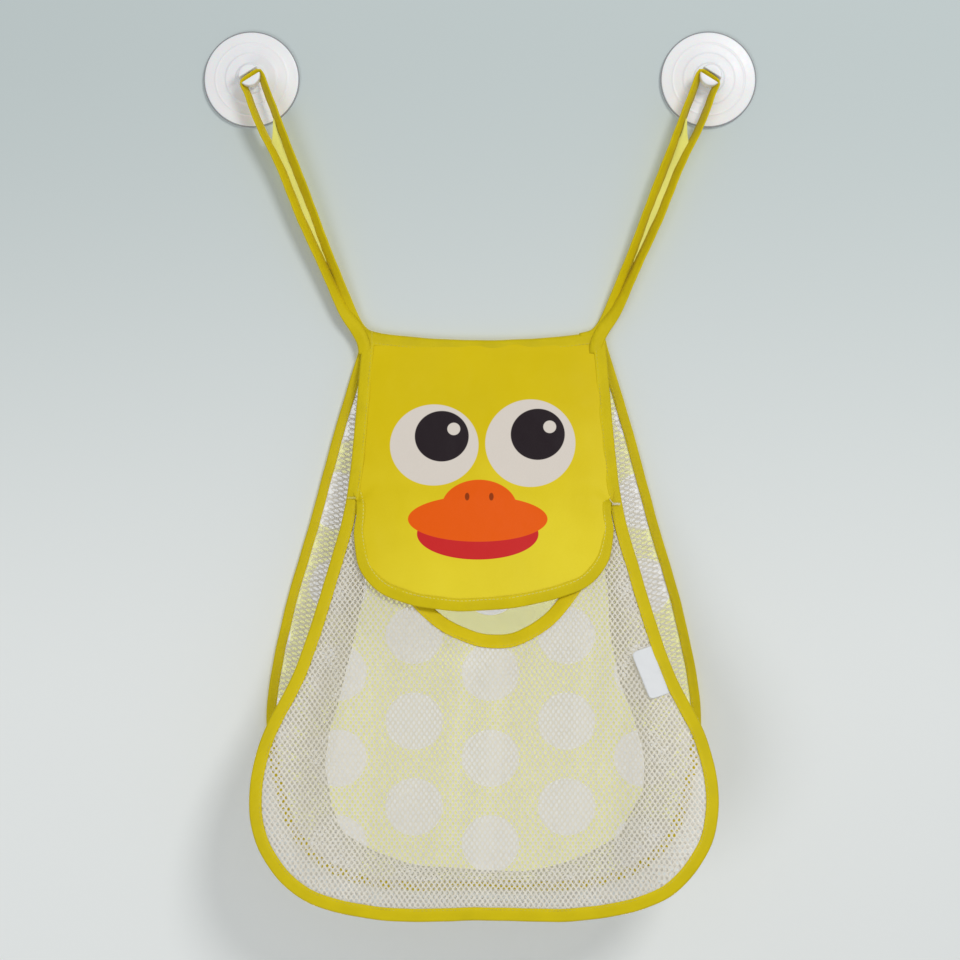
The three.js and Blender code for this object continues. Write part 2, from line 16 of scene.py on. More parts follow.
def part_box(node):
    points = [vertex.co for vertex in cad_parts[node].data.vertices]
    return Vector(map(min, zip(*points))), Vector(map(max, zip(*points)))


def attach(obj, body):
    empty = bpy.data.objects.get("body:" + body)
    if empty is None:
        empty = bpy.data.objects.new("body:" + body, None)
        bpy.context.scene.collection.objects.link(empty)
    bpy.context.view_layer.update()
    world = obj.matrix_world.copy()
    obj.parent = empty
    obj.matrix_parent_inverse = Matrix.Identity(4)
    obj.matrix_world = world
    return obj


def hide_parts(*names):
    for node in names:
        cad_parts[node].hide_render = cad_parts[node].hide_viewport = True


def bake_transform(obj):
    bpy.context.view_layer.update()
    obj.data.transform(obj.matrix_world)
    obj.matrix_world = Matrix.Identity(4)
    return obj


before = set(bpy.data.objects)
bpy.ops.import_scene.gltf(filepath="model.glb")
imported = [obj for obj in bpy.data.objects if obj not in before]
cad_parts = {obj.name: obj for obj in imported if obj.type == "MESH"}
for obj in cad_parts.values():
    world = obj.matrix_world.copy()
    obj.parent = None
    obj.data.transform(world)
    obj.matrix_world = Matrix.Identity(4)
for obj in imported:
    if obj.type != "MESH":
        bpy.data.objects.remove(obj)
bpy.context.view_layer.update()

MM = 0.001

# Camera: the photograph's, level and square to the wall
camera_distance = 1.4
camera_height = -0.271
camera_view_width = 0.65

# Bag, in the sizes of the frame's solids
bag_shift = (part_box("top_binding")[0][0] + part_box("top_binding")[1][0]) / 2
bag_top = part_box("top_binding")[1][2]
top_half = 82.5 * MM
top_sag = 6.5 * MM
front_half = 150.6 * MM
front_length = 390 * MM
back_half = 146.6 * MM
back_length = 378 * MM
bag_depth = 92 * MM
front_top_depth = 4 * MM
straight_drop = 8.4 * MM
lean = math.asin((bag_depth - front_top_depth) / (front_length - straight_drop))
back_depth = 1.8 * MM
front_shares = [
    (0.0, 0.535), (0.034, 0.548), (0.283, 0.6), (0.425, 0.685), (0.586, 0.812), (0.706, 0.956),
    (0.81, 1), (0.897, 0.94), (0.969, 0.754), (1, 0.42), (1, 0),
]
back_shares = [
    (0.004, 0.56), (0.026, 0.569), (0.178, 0.687), (0.34, 0.8), (0.502, 0.92), (0.67, 1),
    (0.8, 0.975), (0.905, 0.885), (0.97, 0.71), (1, 0.42), (1, 0),
]

# Cloth's thickness, and how far its cut edge lies inside the fold of a side tape and of the top tape
cloth_thickness = 0.5 * MM
tape_inset = 1.3 * MM
top_cut = 2.9 * MM

# How far the top tape's middle lies off the wall and the cloths off their plane at a side, and each tape's
# width and thickness
top_plane = 2.9 * MM
side_layer = 0.45 * MM
front_tape = (8.2 * MM, 2.8 * MM)
back_tape = (6.6 * MM, 2.6 * MM)
top_tape = (8.8 * MM, 5 * MM)
flap_tape = (8.2 * MM, 2.1 * MM)
neck_tape = (9 * MM, 2.4 * MM)

# Flap below the tacks, and the neckline of the front mesh
flap_layer = 3 * MM
fold_drop = 121 * MM
flap_length = 72 * MM
flap_half = 85.5 * MM
flap_shares = [
    (-0.17, 1.03), (-0.08, 1), (0, 0.985), (0.12, 0.988), (0.3, 1),
    (0.6, 0.955), (0.82, 0.8), (0.94, 0.55), (1, 0.22), (1, 0),
]
flap_rise = 18 * MM
neck_start = 127 * MM
neck_drop = 207 * MM
neck_half = 74 * MM
neck_shift = 7 * MM
neck_shares = [(0, 1), (0.42, 0.82), (0.8, 0.5), (0.965, 0.22), (1, 0)]

# Mesh knit: the pitch of its cells and rows, a hole's half sizes and the height of its straight sides as a share,
# the yarn's half thickness, and the angle from which an edge of it stays sharp
knit_pitch = 3.4 * MM
knit_row = 2.4 * MM
hole_half_width = 0.84 * MM
hole_half_height = 1.42 * MM
hole_shoulder = 0.42
yarn_rise = 0.16 * MM
yarn_edge_angle = math.radians(60)

# Gusset: how deep it folds inwards at the sides, the foot and its ends; the share of the way from an end to the
# foot's middle where the foot's fold starts; how far its seams lie inside the front and the back outline, and its
# mesh stops short of its ends; and how far the mesh is pulled open
side_fold = 36 * MM
floor_fold = 14 * MM
top_fold = 3 * MM
floor_from = 0.72
gusset_insets = (7.3 * MM, 5.7 * MM)
gusset_end = 14 * MM
gusset_spread = 1.025
gusset_steps = 400
gusset_rows = 16

# Seams: pitch, length and radius of a stitch, and its sizes along its length
stitch_pitch = 2.6 * MM
stitch_length = 2 * MM
thread_radius = 0.25 * MM
stitch_profile = [(-0.5, 0.25), (-0.38, 0.85), (0, 1), (0.38, 0.85), (0.5, 0.25)]

# Suction cups: the slot for the tape, and profiles as (radius, height off the wall) in millimetres
both_sides = ((-1, "left"), (1, "right"))
cup_x = 154.5 * MM
slot_width = 4.2 * MM
slot_turn = math.radians(32)
cup_corners = [
    (0, 1.4), (28.5, 1.4), (29.5, 0.1), (32, 0.1), (31.9, 1.2), (31, 1.5), (29, 1.75), (25.2, 2.25), (24.4, 2.75),
    (23.4, 2.6), (18, 3.3), (17, 4.15), (15.8, 4.2), (10.6, 4.9), (9.9, 6.4), (5.5, 6.6), (0, 6.6),
]
rim_corners = [(31.4, 0), (32.5, 0), (32.5, 1.1), (31.8, 1.45), (31.4, 1.1), (31.4, 0)]
knob_corners = [(0, 6.3), (5.5, 6.3), (5.5, 7.6), (7.3, 8.4), (7.3, 18.4), (0, 18.4)]

# Hanging loops: one tape each, up the outer leg, through the knob's slot and down the inner leg. Each row is a
# point of the left loop's tape on the wall's face, its depth, its turn in degrees from edge-on to flat on, and
# its width and thickness; loop_split is where the two halves of a leg meet.
loop_split = -92
outer_leg = [
    (-77.8, -186, 5.4, 90, 8.2, 2.6), (-79, -178, 5.6, 90, 8.4, 2.4), (-83.6, -169, 5.8, 84, 8.6, 1.9),
    (-91.5, -157.5, 6.2, 60, 8.6, 1.5), (-98.7, -142.8, 6.8, 43, 8.4, 1.5), (-106.3, -126, 7.6, 37, 8.4, 1.5),
    (-113.9, -109.7, 8.5, 36, 8.4, 1.5), (-121.8, -92, 9.3, 35, 8.4, 1.5), (-134.6, -59.9, 11, 33, 8.4, 1.4),
    (-146.9, -35.3, 12.3, 30, 8.2, 1.4), (-152.2, -22.4, 13, 28, 8, 1.4), (-156.2, -11.5, 13.6, 28, 7.4, 1.3),
]
bight = [
    (-158.7, -5.8, 13.7, 32, 6.8, 1.3), (-157.9, -3.7, 13.7, 38, 6.4, 1.3), (-154.1, -0.9, 13.7, 42, 6.2, 1.2),
    (-149.8, 1.9, 13.7, 38, 6.4, 1.3), (-147.2, 1.6, 13.7, 32, 6.8, 1.3),
]
inner_leg = [
    (-143.4, -8.6, 13.4, 32, 7.8, 1.4), (-135.9, -28.5, 12.5, 32, 8.2, 1.5), (-128.8, -48, 11.5, 36, 8.4, 1.5),
    (-120, -70.5, 10.2, 39, 8.4, 1.5), (-111.9, -92, 8.8, 37, 8.4, 1.5), (-104.2, -113.5, 7.2, 42, 8.4, 1.5),
    (-95.4, -136.6, 5, 52, 8.4, 1.5), (-88.7, -154.5, 3.8, 68, 8.6, 1.8), (-85, -163.4, 3.2, 82, 8.6, 2.4),
    (-81.2, -169.6, 2.9, 90, 8.6, 3.4), (-76, -173.9, 2.9, 90, 8.8, 4.2), (-68, -176, 2.9, 90, 8.8, 4.4),
]
open_fold = [
    (-138.7, -28, 10.4, 84, 0.8, 0.5), (-137.5, -38, 9.7, 84, 4, 0.5), (-136, -46.5, 9, 86, 8.6, 0.5),
    (-131.7, -58, 8, 88, 10, 0.5), (-124.7, -72.5, 7.2, 88, 10, 0.5), (-117.7, -87, 6.4, 88, 9.2, 0.5),
    (-110.7, -106, 5.2, 88, 6.4, 0.5), (-104.4, -124, 4.2, 88, 2.5, 0.5),
]

# Colours, linear
yellow_tape_colour = (0.66, 0.52, 0.003)
face_colour = (0.7, 0.53, 0.001)
# painted sheen: the paler yellow the face cloth turns to towards its lower right
painted_sheen_colour = (0.82, 0.665, 0.025)
pale_colour = (0.91, 0.865, 0.22)
dot_colour = (0.92, 0.885, 0.83)
eye_colour = (0.73, 0.66, 0.58)
pupil_colour = (0.018, 0.011, 0.014)
bill_colour = (0.85, 0.11, 0.001)
lip_colour = (0.62, 0.02, 0.02)
mesh_colour = (0.9, 0.835, 0.715)
label_colour = (0.83, 0.84, 0.84)
vinyl_colour = (0.87, 0.87, 0.87)


# Camera and stage


def make_camera():
    data = bpy.data.cameras.new("camera")
    data.angle = 2 * math.atan(camera_view_width / 2 / camera_distance)
    camera = bpy.data.objects.new("camera", data)
    camera.location = (0, -camera_distance, camera_height)
    camera.rotation_euler = (math.pi / 2, 0, 0)
    bpy.context.scene.collection.objects.link(camera)
    bpy.context.scene.camera = camera


make_camera()


# Meshes


def link(name, mesh, *materials, smooth=True):
    for material in materials:
        mesh.materials.append(material)
    if smooth:
        mesh.polygons.foreach_set("use_smooth", [True] * len(mesh.polygons))
    piece = bpy.data.objects.new(name, mesh)
    bpy.context.scene.collection.objects.link(piece)
    return piece


def mesh_from(name, points, faces, uv=None):
    """A mesh from points and faces, with cloth coordinates in metres for each point."""
    mesh = bpy.data.meshes.new(name)
    mesh.from_pydata([tuple(p) for p in points], [], [tuple(int(i) for i in f) for f in faces])
    if uv is not None:
        layer = mesh.uv_layers.new(name="cloth")
        loops = np.zeros(len(mesh.loops), np.int32)
        mesh.loops.foreach_get("vertex_index", loops)
        layer.data.foreach_set("uv", np.asarray(uv, np.float32)[loops].ravel())
    mesh.validate()
    return mesh


def outward(mesh):
    """Turns the faces of a closed mesh outwards."""
    work = bmesh.new()
    work.from_mesh(mesh)
    bmesh.ops.recalc_face_normals(work, faces=work.faces)
    work.to_mesh(mesh)
    work.free()
    return mesh


def reach_along(points):
    """Distances along a row of points, from its first."""
    return np.concatenate([[0], np.cumsum(np.linalg.norm(np.diff(points, axis=0), axis=1))])


def curve_through(points, steps):
    """Evenly spaced points on a smooth curve through the given ones, in any dimension."""
    knots = np.asarray(points, float)
    ends = np.vstack([knots[:1], knots, knots[-1:]])
    dense = []
    t = np.linspace(0, 1, 24, endpoint=False)[:, None]
    for i in range(len(knots) - 1):
        a, b, c, d = ends[i : i + 4]
        bend = (2 * a - 5 * b + 4 * c - d) * t**2 + (3 * b - a - 3 * c + d) * t**3
        dense.append(0.5 * (2 * b + (c - a) * t + bend))
    dense = np.vstack([*dense, knots[-1:]])
    reach = reach_along(dense[:, :3])
    wanted = np.linspace(0, reach[-1], steps + 1)
    return np.column_stack([np.interp(wanted, reach, dense[:, k]) for k in range(dense.shape[1])])


def unit(vectors):
    return vectors / np.linalg.norm(vectors, axis=-1, keepdims=True)


def along_of(points):
    """Unit tangents of a row of points."""
    return unit(np.gradient(np.asarray(points), axis=0))


def trace_of(points):
    """A flat outline's points with their outward normals."""
    tangents = along_of(points)
    return points, np.column_stack([-tangents[:, 1], tangents[:, 0]])


def outline(shares, half, length, start=0.0, steps=240):
    """The trace of an outline from the left top round the bottom to the right top."""
    left = [(-out * half, start + down * length) for down, out in shares]
    right = [(-x, y) for x, y in left[-2::-1]]
    return trace_of(curve_through(left + right, steps))


def smooth_step(value):
    value = np.clip(value, 0, 1)
    return value * value * (3 - 2 * value)


def top_dip(across):
    share = np.minimum(np.abs(across) / top_half, 1)
    return top_sag * (1 - share**2)


front_outline = outline(front_shares, front_half, front_length)
back_outline = outline(back_shares, back_half, back_length)


def half_at(trace, drop):
    """Half width of an outline at a drop."""
    points = trace[0][: len(trace[0]) // 2]
    return np.interp(drop, points[:, 1], -points[:, 0])


def front_folds(across, drop):
    """Soft vertical folds of the front mesh, fading into its bindings."""
    x = np.asarray(across) / MM
    inside = smooth_step((half_at(front_outline, drop) - np.abs(across)) / (30 * MM))
    low = smooth_step((np.asarray(drop) - 175 * MM) / (60 * MM)) * smooth_step((front_length - drop) / (40 * MM))
    waves = (
        2.6 * np.sin(x / 11.5 + 0.6 + drop / (95 * MM))
        + 2 * np.sin(x / 19 - 1.1 - drop / (160 * MM))
        + 1 * np.sin(x / 6.3 + drop / (70 * MM))
    )
    return waves * MM * inside * low


def hang_front(across, drop, off):
    across, drop, off = np.broadcast_arrays(np.asarray(across, float), drop, off)
    off = off + front_folds(across, drop)
    sloped = np.maximum(drop - straight_drop, 0)
    tilt = np.where(drop > straight_drop, lean, 0)
    return np.stack(
        [
            across + bag_shift,
            -front_top_depth - sloped * np.sin(tilt) - off * np.cos(tilt),
            bag_top - np.minimum(drop, straight_drop) - sloped * np.cos(tilt) + off * np.sin(tilt),
        ],
        axis=-1,
    )


def hang_back(across, drop, off):
    across, drop, off = np.broadcast_arrays(np.asarray(across, float), drop, off)
    return np.stack([across + bag_shift, -back_depth - off, bag_top - drop], axis=-1)


# Cloth panels


def panel(name, edge, spacing, place, layer, material):
    """A sheet of cloth cut along edge, a closed outline of (across, drop) points, and hung by place."""
    edge = np.asarray(edge)
    low, high = edge.min(axis=0), edge.max(axis=0)
    grid = [
        (x, y)
        for y in np.arange(low[1] + spacing / 2, high[1], spacing)
        for x in np.arange(low[0] + spacing / 2, high[0], spacing)
    ]
    count = len(edge)
    points = [Vector(p) for p in edge] + [Vector(p) for p in grid]
    edges = [(i, (i + 1) % count) for i in range(count)]
    flat, _, faces, *_ = delaunay_2d_cdt(points, edges, [list(range(count))], 1, 1e-7)
    flat = np.array([tuple(p) for p in flat])
    hung = place(flat[:, 0], flat[:, 1], layer(flat[:, 0], flat[:, 1]))
    return thicken(link(name, mesh_from(name, hung, faces, flat), material), cloth_thickness)


def thicken(piece, thickness):
    """Gives a sheet its thickness, half of it to each side."""
    solid = piece.modifiers.new("cloth", "SOLIDIFY")
    solid.thickness = thickness
    solid.offset = 0
    bake_modifiers(piece)
    return piece


def bake_modifiers(piece):
    """Replaces a piece's mesh with what its modifiers make of it."""
    graph = bpy.context.evaluated_depsgraph_get()
    graph.update()
    mesh = bpy.data.meshes.new_from_object(piece.evaluated_get(graph))
    piece.modifiers.clear()
    piece.data = mesh
    mesh.polygons.foreach_set("use_smooth", [True] * len(mesh.polygons))
    mesh.update()


def polygon_area(edge):
    x, y = np.asarray(edge).T
    return abs(np.dot(x, np.roll(y, 1)) - np.dot(y, np.roll(x, 1))) / 2


# Tape


def fold_section(width, thickness, wall=0.42 * MM):
    """A tape folded over a cloth's edge: across from its free edges to its fold, and off the cloth."""
    half = thickness / 2
    slot = half - wall
    nose = [
        (width - half + half * math.cos(a), half * math.sin(a))
        for a in np.linspace(math.pi / 2, -math.pi / 2, 9)
    ]
    lip = 0.5 * MM
    front = [(0, half - wall * 0.55), (lip * 0.3, half - wall * 0.15), (lip, half), (width * 0.45, half * 1.04)]
    rear = [(a, -b) for a, b in front[::-1]]
    inner = [(0, -slot), (width - half, -slot), (width - half, slot), (0, slot)]
    return np.array(front + nose + rear + inner)


def tape(name, trace, size, layer, place, material, narrowing=1.0):
    """A folded tape along an outline, its fold on the outline, with the slight waves of sewn bias tape."""
    points, normals = trace
    section = fold_section(*size)
    along = reach_along(points)
    layers = np.broadcast_to(layer, len(points))
    narrowing = np.broadcast_to(narrowing, len(points))
    ripple = 0.12 * MM
    rings = []
    uv = []
    for i, (point, normal) in enumerate(zip(points, normals)):
        wave = ripple * math.sin(along[i] / (6.1 * MM)) + ripple * math.sin(along[i] / (3.7 * MM) + 2)
        swell = 1 + 0.05 * math.sin(along[i] / (4.3 * MM))
        inset = (size[0] - section[:, 0]) * narrowing[i] + wave * 0.5
        flat = point[None, :] - normal[None, :] * inset[:, None]
        rings.append(place(flat[:, 0], flat[:, 1], layers[i] + section[:, 1] * swell + wave))
        uv.append(np.column_stack([np.full(len(section), along[i]), section[:, 0]]))
    return tube(name, rings, uv, material)


def ring_faces(rings, base=0, caps=(True, True)):
    """Faces of a tube through rings whose points are numbered from base on."""
    count = len(rings[0])
    last = base + (len(rings) - 1) * count
    faces = []
    for start in range(base, last, count):
        for j in range(count):
            a, b = start + j, start + (j + 1) % count
            faces.append((a, b, b + count, a + count))
    if caps[0]:
        faces.append(tuple(range(base, base + count))[::-1])
    if caps[1]:
        faces.append(tuple(range(last, last + count)))
    return faces


def tube(name, rings, uv, material, caps=(True, True)):
    mesh = mesh_from(name, np.vstack(rings), ring_faces(rings, caps=caps), np.vstack(uv))
    return link(name, outward(mesh), material)


# Thread


def thread_ring(centre, way, up, radius, sink=0.0):
    """Six points round a thread that runs along way, sunk below its centre line where sink says."""
    side = unit(np.cross(way, up))
    lift = np.cross(side, way)
    turns = np.linspace(0, 2 * math.pi, 6, endpoint=False)
    return [centre + radius * (side * math.cos(t) + lift * math.sin(t)) - lift * sink for t in turns]


def stitch_row(points, ups):
    """Stitches along a row of 3-D points: rounded bars that dip at both ends, with a gap between them."""
    reach = reach_along(points)

    def at(values, where):
        return np.array([np.interp(where, reach, values[:, k]) for k in range(3)])

    rows = []
    for start in np.arange(stitch_pitch * 0.5, reach[-1] - stitch_pitch * 0.5, stitch_pitch):
        rings = []
        for share, size in stitch_profile:
            where = start + share * stitch_length
            way = unit(at(points, where + 0.3 * MM) - at(points, where - 0.3 * MM))
            sink = thread_radius * 0.6 * (abs(share) / 0.5) ** 2
            rings.append(thread_ring(at(points, where), way, at(ups, where), thread_radius * size, sink))
        rows.append(rings)
    return rows


def stitches(name, rows, material):
    """One object from many stitches."""
    points = []
    faces = []
    for rings in rows:
        faces += ring_faces(rings, len(points))
        points += [point for ring in rings for point in ring]
    return link(name, outward(mesh_from(name, points, faces)), material)


# Knitted mesh


def knit(name, inside, bounds, hang, material, spread=1.0):
    """Knitted mesh with real holes: six-sided cells on a staggered grid, each yarn shared by its cells.

    A yarn is thickest along its middle, in front and behind, and the two sides meet round each hole.
    inside(u, v) says which cell centres belong to the cut, hang(u, v, off) hangs flat points, and spread is how
    far the mesh is pulled open.
    """
    pitch, step = knit_pitch * spread, knit_row * spread
    (low_u, low_v), (high_u, high_v) = bounds
    rows = int((high_v - low_v) / step) + 2
    columns = int((high_u - low_u) / pitch) + 2
    row, column = np.meshgrid(np.arange(rows), np.arange(columns), indexing="ij")
    centre_u = low_u + (column + (row % 2) / 2) * pitch
    centre_v = low_v + row * step
    keep = inside(centre_u, centre_v)
    centres = np.column_stack([centre_u[keep], centre_v[keep]])
    side = (step**2 - pitch**2 / 4) / (2 * step)
    peak = (step**2 + pitch**2 / 4) / (2 * step)
    half = pitch / 2
    ridge = np.array([(0, peak), (half, side), (half, -side), (0, -peak), (-half, -side), (-half, side)])
    w, h = hole_half_width * spread, hole_half_height * spread
    shoulder = h * hole_shoulder
    rim = np.array([(0, h), (w, shoulder), (w, -shoulder), (0, -h), (-w, -shoulder), (-w, shoulder)])
    ridges = (centres[:, None, :] + ridge[None]).reshape(-1, 2)
    keys = np.round((ridges - ridges.min(axis=0)) / (half, step / 4)).astype(np.int64)
    key_base = keys.max() + 1
    _, first, which = np.unique(keys[:, 0] * key_base + keys[:, 1], return_index=True, return_inverse=True)
    outer = ridges[first]
    inner = (centres[:, None, :] + rim[None]).reshape(-1, 2)
    which = which.reshape(-1, 6)
    count = len(outer)
    inner_at = 2 * count + np.arange(len(inner)).reshape(-1, 6)
    following = [1, 2, 3, 4, 5, 0]
    ahead, rim_ahead = which[:, following], inner_at[:, following]
    front = np.stack([which, ahead, rim_ahead, inner_at], axis=-1).reshape(-1, 4)
    back = np.stack([inner_at, rim_ahead, ahead + count, which + count], axis=-1).reshape(-1, 4)
    pairs = np.column_stack([which.ravel(), ahead.ravel()])
    ordered = np.sort(pairs, axis=1)
    _, used, uses = np.unique(ordered[:, 0] * count + ordered[:, 1], return_index=True, return_counts=True)
    a, b = pairs[used[uses == 1]].T
    sides = np.column_stack([b, a, a + count, b + count])
    faces = np.vstack([front, back, sides])
    flat = np.vstack([outer, outer, inner])
    off = np.concatenate([np.full(count, yarn_rise), np.full(count, -yarn_rise), np.zeros(len(inner))])
    hung = hang(flat[:, 0], flat[:, 1], off)
    piece = link(name, mesh_from(name, hung, faces, flat), material)
    piece.data.set_sharp_from_angle(angle=yarn_edge_angle)
    holes = len(centres) * polygon_area(rim)
    return piece, len(centres) * pitch * step - holes


# Materials


class Nodes:
    """A material's node tree. The values given are numbers, colours or other nodes' outputs."""

    def __init__(self, name):
        self.material = bpy.data.materials.new(name)
        self.material.use_nodes = True
        self.tree = self.material.node_tree

    def add(self, kind, **settings):
        node = self.tree.nodes.new("ShaderNode" + kind)
        for key, value in settings.items():
            setattr(node, key, value)
        return node

    def give(self, socket, value):
        if isinstance(value, bpy.types.NodeSocket):
            self.tree.links.new(value, socket)
        elif isinstance(value, tuple):
            socket.default_value = (*value, 1) if len(value) == 3 and socket.type == "RGBA" else value
        else:
            socket.default_value = value

    def sum(self, operation, first, second=0.0, third=0.0, clamp=False):
        node = self.add("Math", operation=operation, use_clamp=clamp)
        for socket, value in zip(node.inputs, (first, second, third)):
            self.give(socket, value)
        return node.outputs[0]

    def mix(self, share, first, second):
        node = self.add("Mix", data_type="RGBA")
        for index, value in ((0, share), (6, first), (7, second)):
            self.give(node.inputs[index], value)
        return node.outputs[2]

    def ramp(self, value, low, high):
        """From 0 at low to 1 at high, smoothly."""
        node = self.add("MapRange", interpolation_type="SMOOTHSTEP")
        for key, given in (("Value", value), ("From Min", low), ("From Max", high)):
            self.give(node.inputs[key], given)
        return node.outputs[0]


class Recipe(Nodes):
    """A surface's nodes: its colour, roughness and bump."""

    def __init__(self, name, colour, roughness, specular, sheen, coat=0.0):
        super().__init__(name)
        self.shader = self.tree.nodes["Principled BSDF"]
        finish = {"Base Color": colour, "Roughness": roughness, "Specular IOR Level": specular, "Coat Weight": coat}
        finish |= {"Sheen Weight": sheen, "Sheen Roughness": 0.45, "Coat Roughness": 0.2}
        for socket, value in finish.items():
            self.set(socket, value)

    def set(self, socket, value):
        self.give(self.shader.inputs[socket], value)

    def subsurface(self, weight, scale, radius=(1, 1, 1)):
        self.set("Subsurface Weight", weight)
        self.set("Subsurface Radius", radius)
        self.set("Subsurface Scale", scale)

    def cloth(self):
        """The cloth coordinates, in metres, as two numbers."""
        parts = self.add("SeparateXYZ")
        self.give(parts.inputs[0], self.add("UVMap", uv_map="cloth").outputs[0])
        return parts.outputs[0], parts.outputs[1]

    def noise(self, size, detail=3.0, stretch=(1, 1, 1)):
        """Noise whose patches are about size metres across, from 0 to 1."""
        mapping = self.add("Mapping")
        mapping.inputs["Scale"].default_value = tuple(part / size for part in stretch)
        self.give(mapping.inputs[0], self.add("TexCoord").outputs["Object"])
        node = self.add("TexNoise")
        self.give(node.inputs["Scale"], 1)
        self.give(node.inputs["Detail"], detail)
        self.give(node.inputs["Vector"], mapping.outputs[0])
        return node.outputs[0]

    def wave(self, value, pitch):
        """A sine of value that repeats every pitch, from -1 to 1."""
        return self.sum("SINE", self.sum("MULTIPLY", value, 2 * math.pi / pitch))

    def length(self, x, y):
        return self.sum("SQRT", self.sum("ADD", self.sum("MULTIPLY", x, x), self.sum("MULTIPLY", y, y)))

    def inside(self, distance, edge, soft=0.25 * MM):
        """1 where distance is below edge, 0 above it, over a soft edge."""
        return self.ramp(distance, edge + soft, edge - soft)

    def disc(self, u, v, centre, radii):
        """1 inside an oval of cloth, 0 outside it; the oval is given in millimetres."""
        x = self.sum("DIVIDE", self.sum("SUBTRACT", u, centre[0] * MM), radii[0] * MM)
        y = self.sum("DIVIDE", self.sum("SUBTRACT", v, centre[1] * MM), radii[1] * MM)
        return self.inside(self.length(x, y), 1, 0.25 / radii[0])

    def shade(self, colour, low=0.9, high=1.08, size=30 * MM):
        """A colour that varies softly over the cloth."""
        patch = self.noise(size, 4)
        if isinstance(colour, tuple):
            dark = tuple(part * low for part in colour)
            return self.mix(patch, dark, tuple(min(part * high, 0.93) for part in colour))
        node = self.add("VectorMath", operation="SCALE")
        self.give(node.inputs[0], colour)
        self.give(node.inputs["Scale"], self.sum("MULTIPLY_ADD", patch, high - low, low))
        return node.outputs[0]

    def rough(self, size, detail, spread, low):
        """Roughness from low to low + spread, in patches of size."""
        self.set("Roughness", self.sum("MULTIPLY_ADD", self.noise(size, detail), spread, low))

    def bump(self, *layers):
        """Raises the surface by each (height, metres) pair in turn, and gives the finished material."""
        normal = None
        for height, distance in layers:
            node = self.add("Bump")
            self.give(node.inputs["Distance"], distance)
            self.give(node.inputs["Strength"], 1)
            self.give(node.inputs["Height"], height)
            if normal is not None:
                self.give(node.inputs["Normal"], normal)
            normal = node.outputs[0]
        self.set("Normal", normal)
        return self.material


def weave(recipe, pitch=0.55 * MM):
    """Height of a plain weave: over and under threads in both directions."""
    u, v = recipe.cloth()
    warp = recipe.wave(u, 2 * pitch)
    weft = recipe.wave(v, 2 * pitch)
    return recipe.sum("MULTIPLY", warp, weft)


def tape_material(name, colour):
    """Yellow bias tape: fine ribs across it, and a painted highlight that makes it paler along its free edges."""
    recipe = Recipe(name, colour, 0.55, 0.12, 0.03)
    u, v = recipe.cloth()
    ribs = recipe.wave(recipe.sum("ADD", u, v), 0.8 * MM)
    # Painted highlight: a paler mix of the tape's colour along its free edges.
    pale = tuple(min(part * 1.12 + 0.005, 0.9) for part in colour)
    painted_edge_highlight = recipe.sum("MULTIPLY", recipe.inside(v, 2.2 * MM, 2 * MM), 0.5)
    recipe.set("Base Color", recipe.mix(painted_edge_highlight, recipe.shade(colour, 0.86, 1.1, 18 * MM), pale))
    recipe.rough(9 * MM, 2, 0.2, 0.42)
    return recipe.bump((recipe.noise(5 * MM, 2), 0.5 * MM), (ribs, 0.035 * MM))


def face_material():
    """Bright cloth with a painted sheen that makes it paler towards the right and the bottom, and a plain printed
    bird's face.
    """
    recipe = Recipe("printed_face_cloth", face_colour, 0.5, 0.12, 0.02)
    u, v = recipe.cloth()

    def printed(colour, centre, radii, ink):
        return recipe.mix(recipe.disc(u, v, centre, radii), colour, ink)

    # Painted sheen: the cloth turns paler towards the right and the bottom, in soft patches.
    down = recipe.sum("DIVIDE", recipe.sum("SUBTRACT", v, 70 * MM), 130 * MM)
    patches = recipe.sum("MULTIPLY_ADD", recipe.noise(50 * MM, 2), 0.9, -0.35)
    painted_sheen = recipe.sum("ADD", recipe.sum("MULTIPLY_ADD", u, 1 / (330 * MM), down), patches, clamp=True)
    colour = recipe.shade(recipe.mix(painted_sheen, face_colour, painted_sheen_colour), 0.95, 1.04, 45 * MM)
    for (x, y), radii in (((-33, 80), (29.5, 28)), ((31, 79), (30, 30))):
        colour = printed(colour, (x, y), radii, eye_colour)
        colour = printed(colour, (x + 5, y - 6), (18, 17.5), pupil_colour)
        colour = printed(colour, (x + 13, y - 11), (4.3, 4.3), eye_colour)
    colour = printed(colour, (-4, 141), (40, 17.5), lip_colour)
    wide = recipe.disc(u, v, (-4, 131), (46, 15.5))
    crown = recipe.disc(u, v, (-3, 124), (25, 20))
    colour = recipe.mix(recipe.sum("MAXIMUM", wide, crown), colour, bill_colour)
    for x in (-11, 5):
        colour = printed(colour, (x, 116), (1.5, 2.7), tuple(part * 0.35 for part in bill_colour))
    recipe.set("Base Color", colour)
    recipe.rough(12 * MM, 3, 0.16, 0.42)
    return recipe.bump((recipe.noise(26 * MM, 2), 1.2 * MM), (weave(recipe), 0.03 * MM))


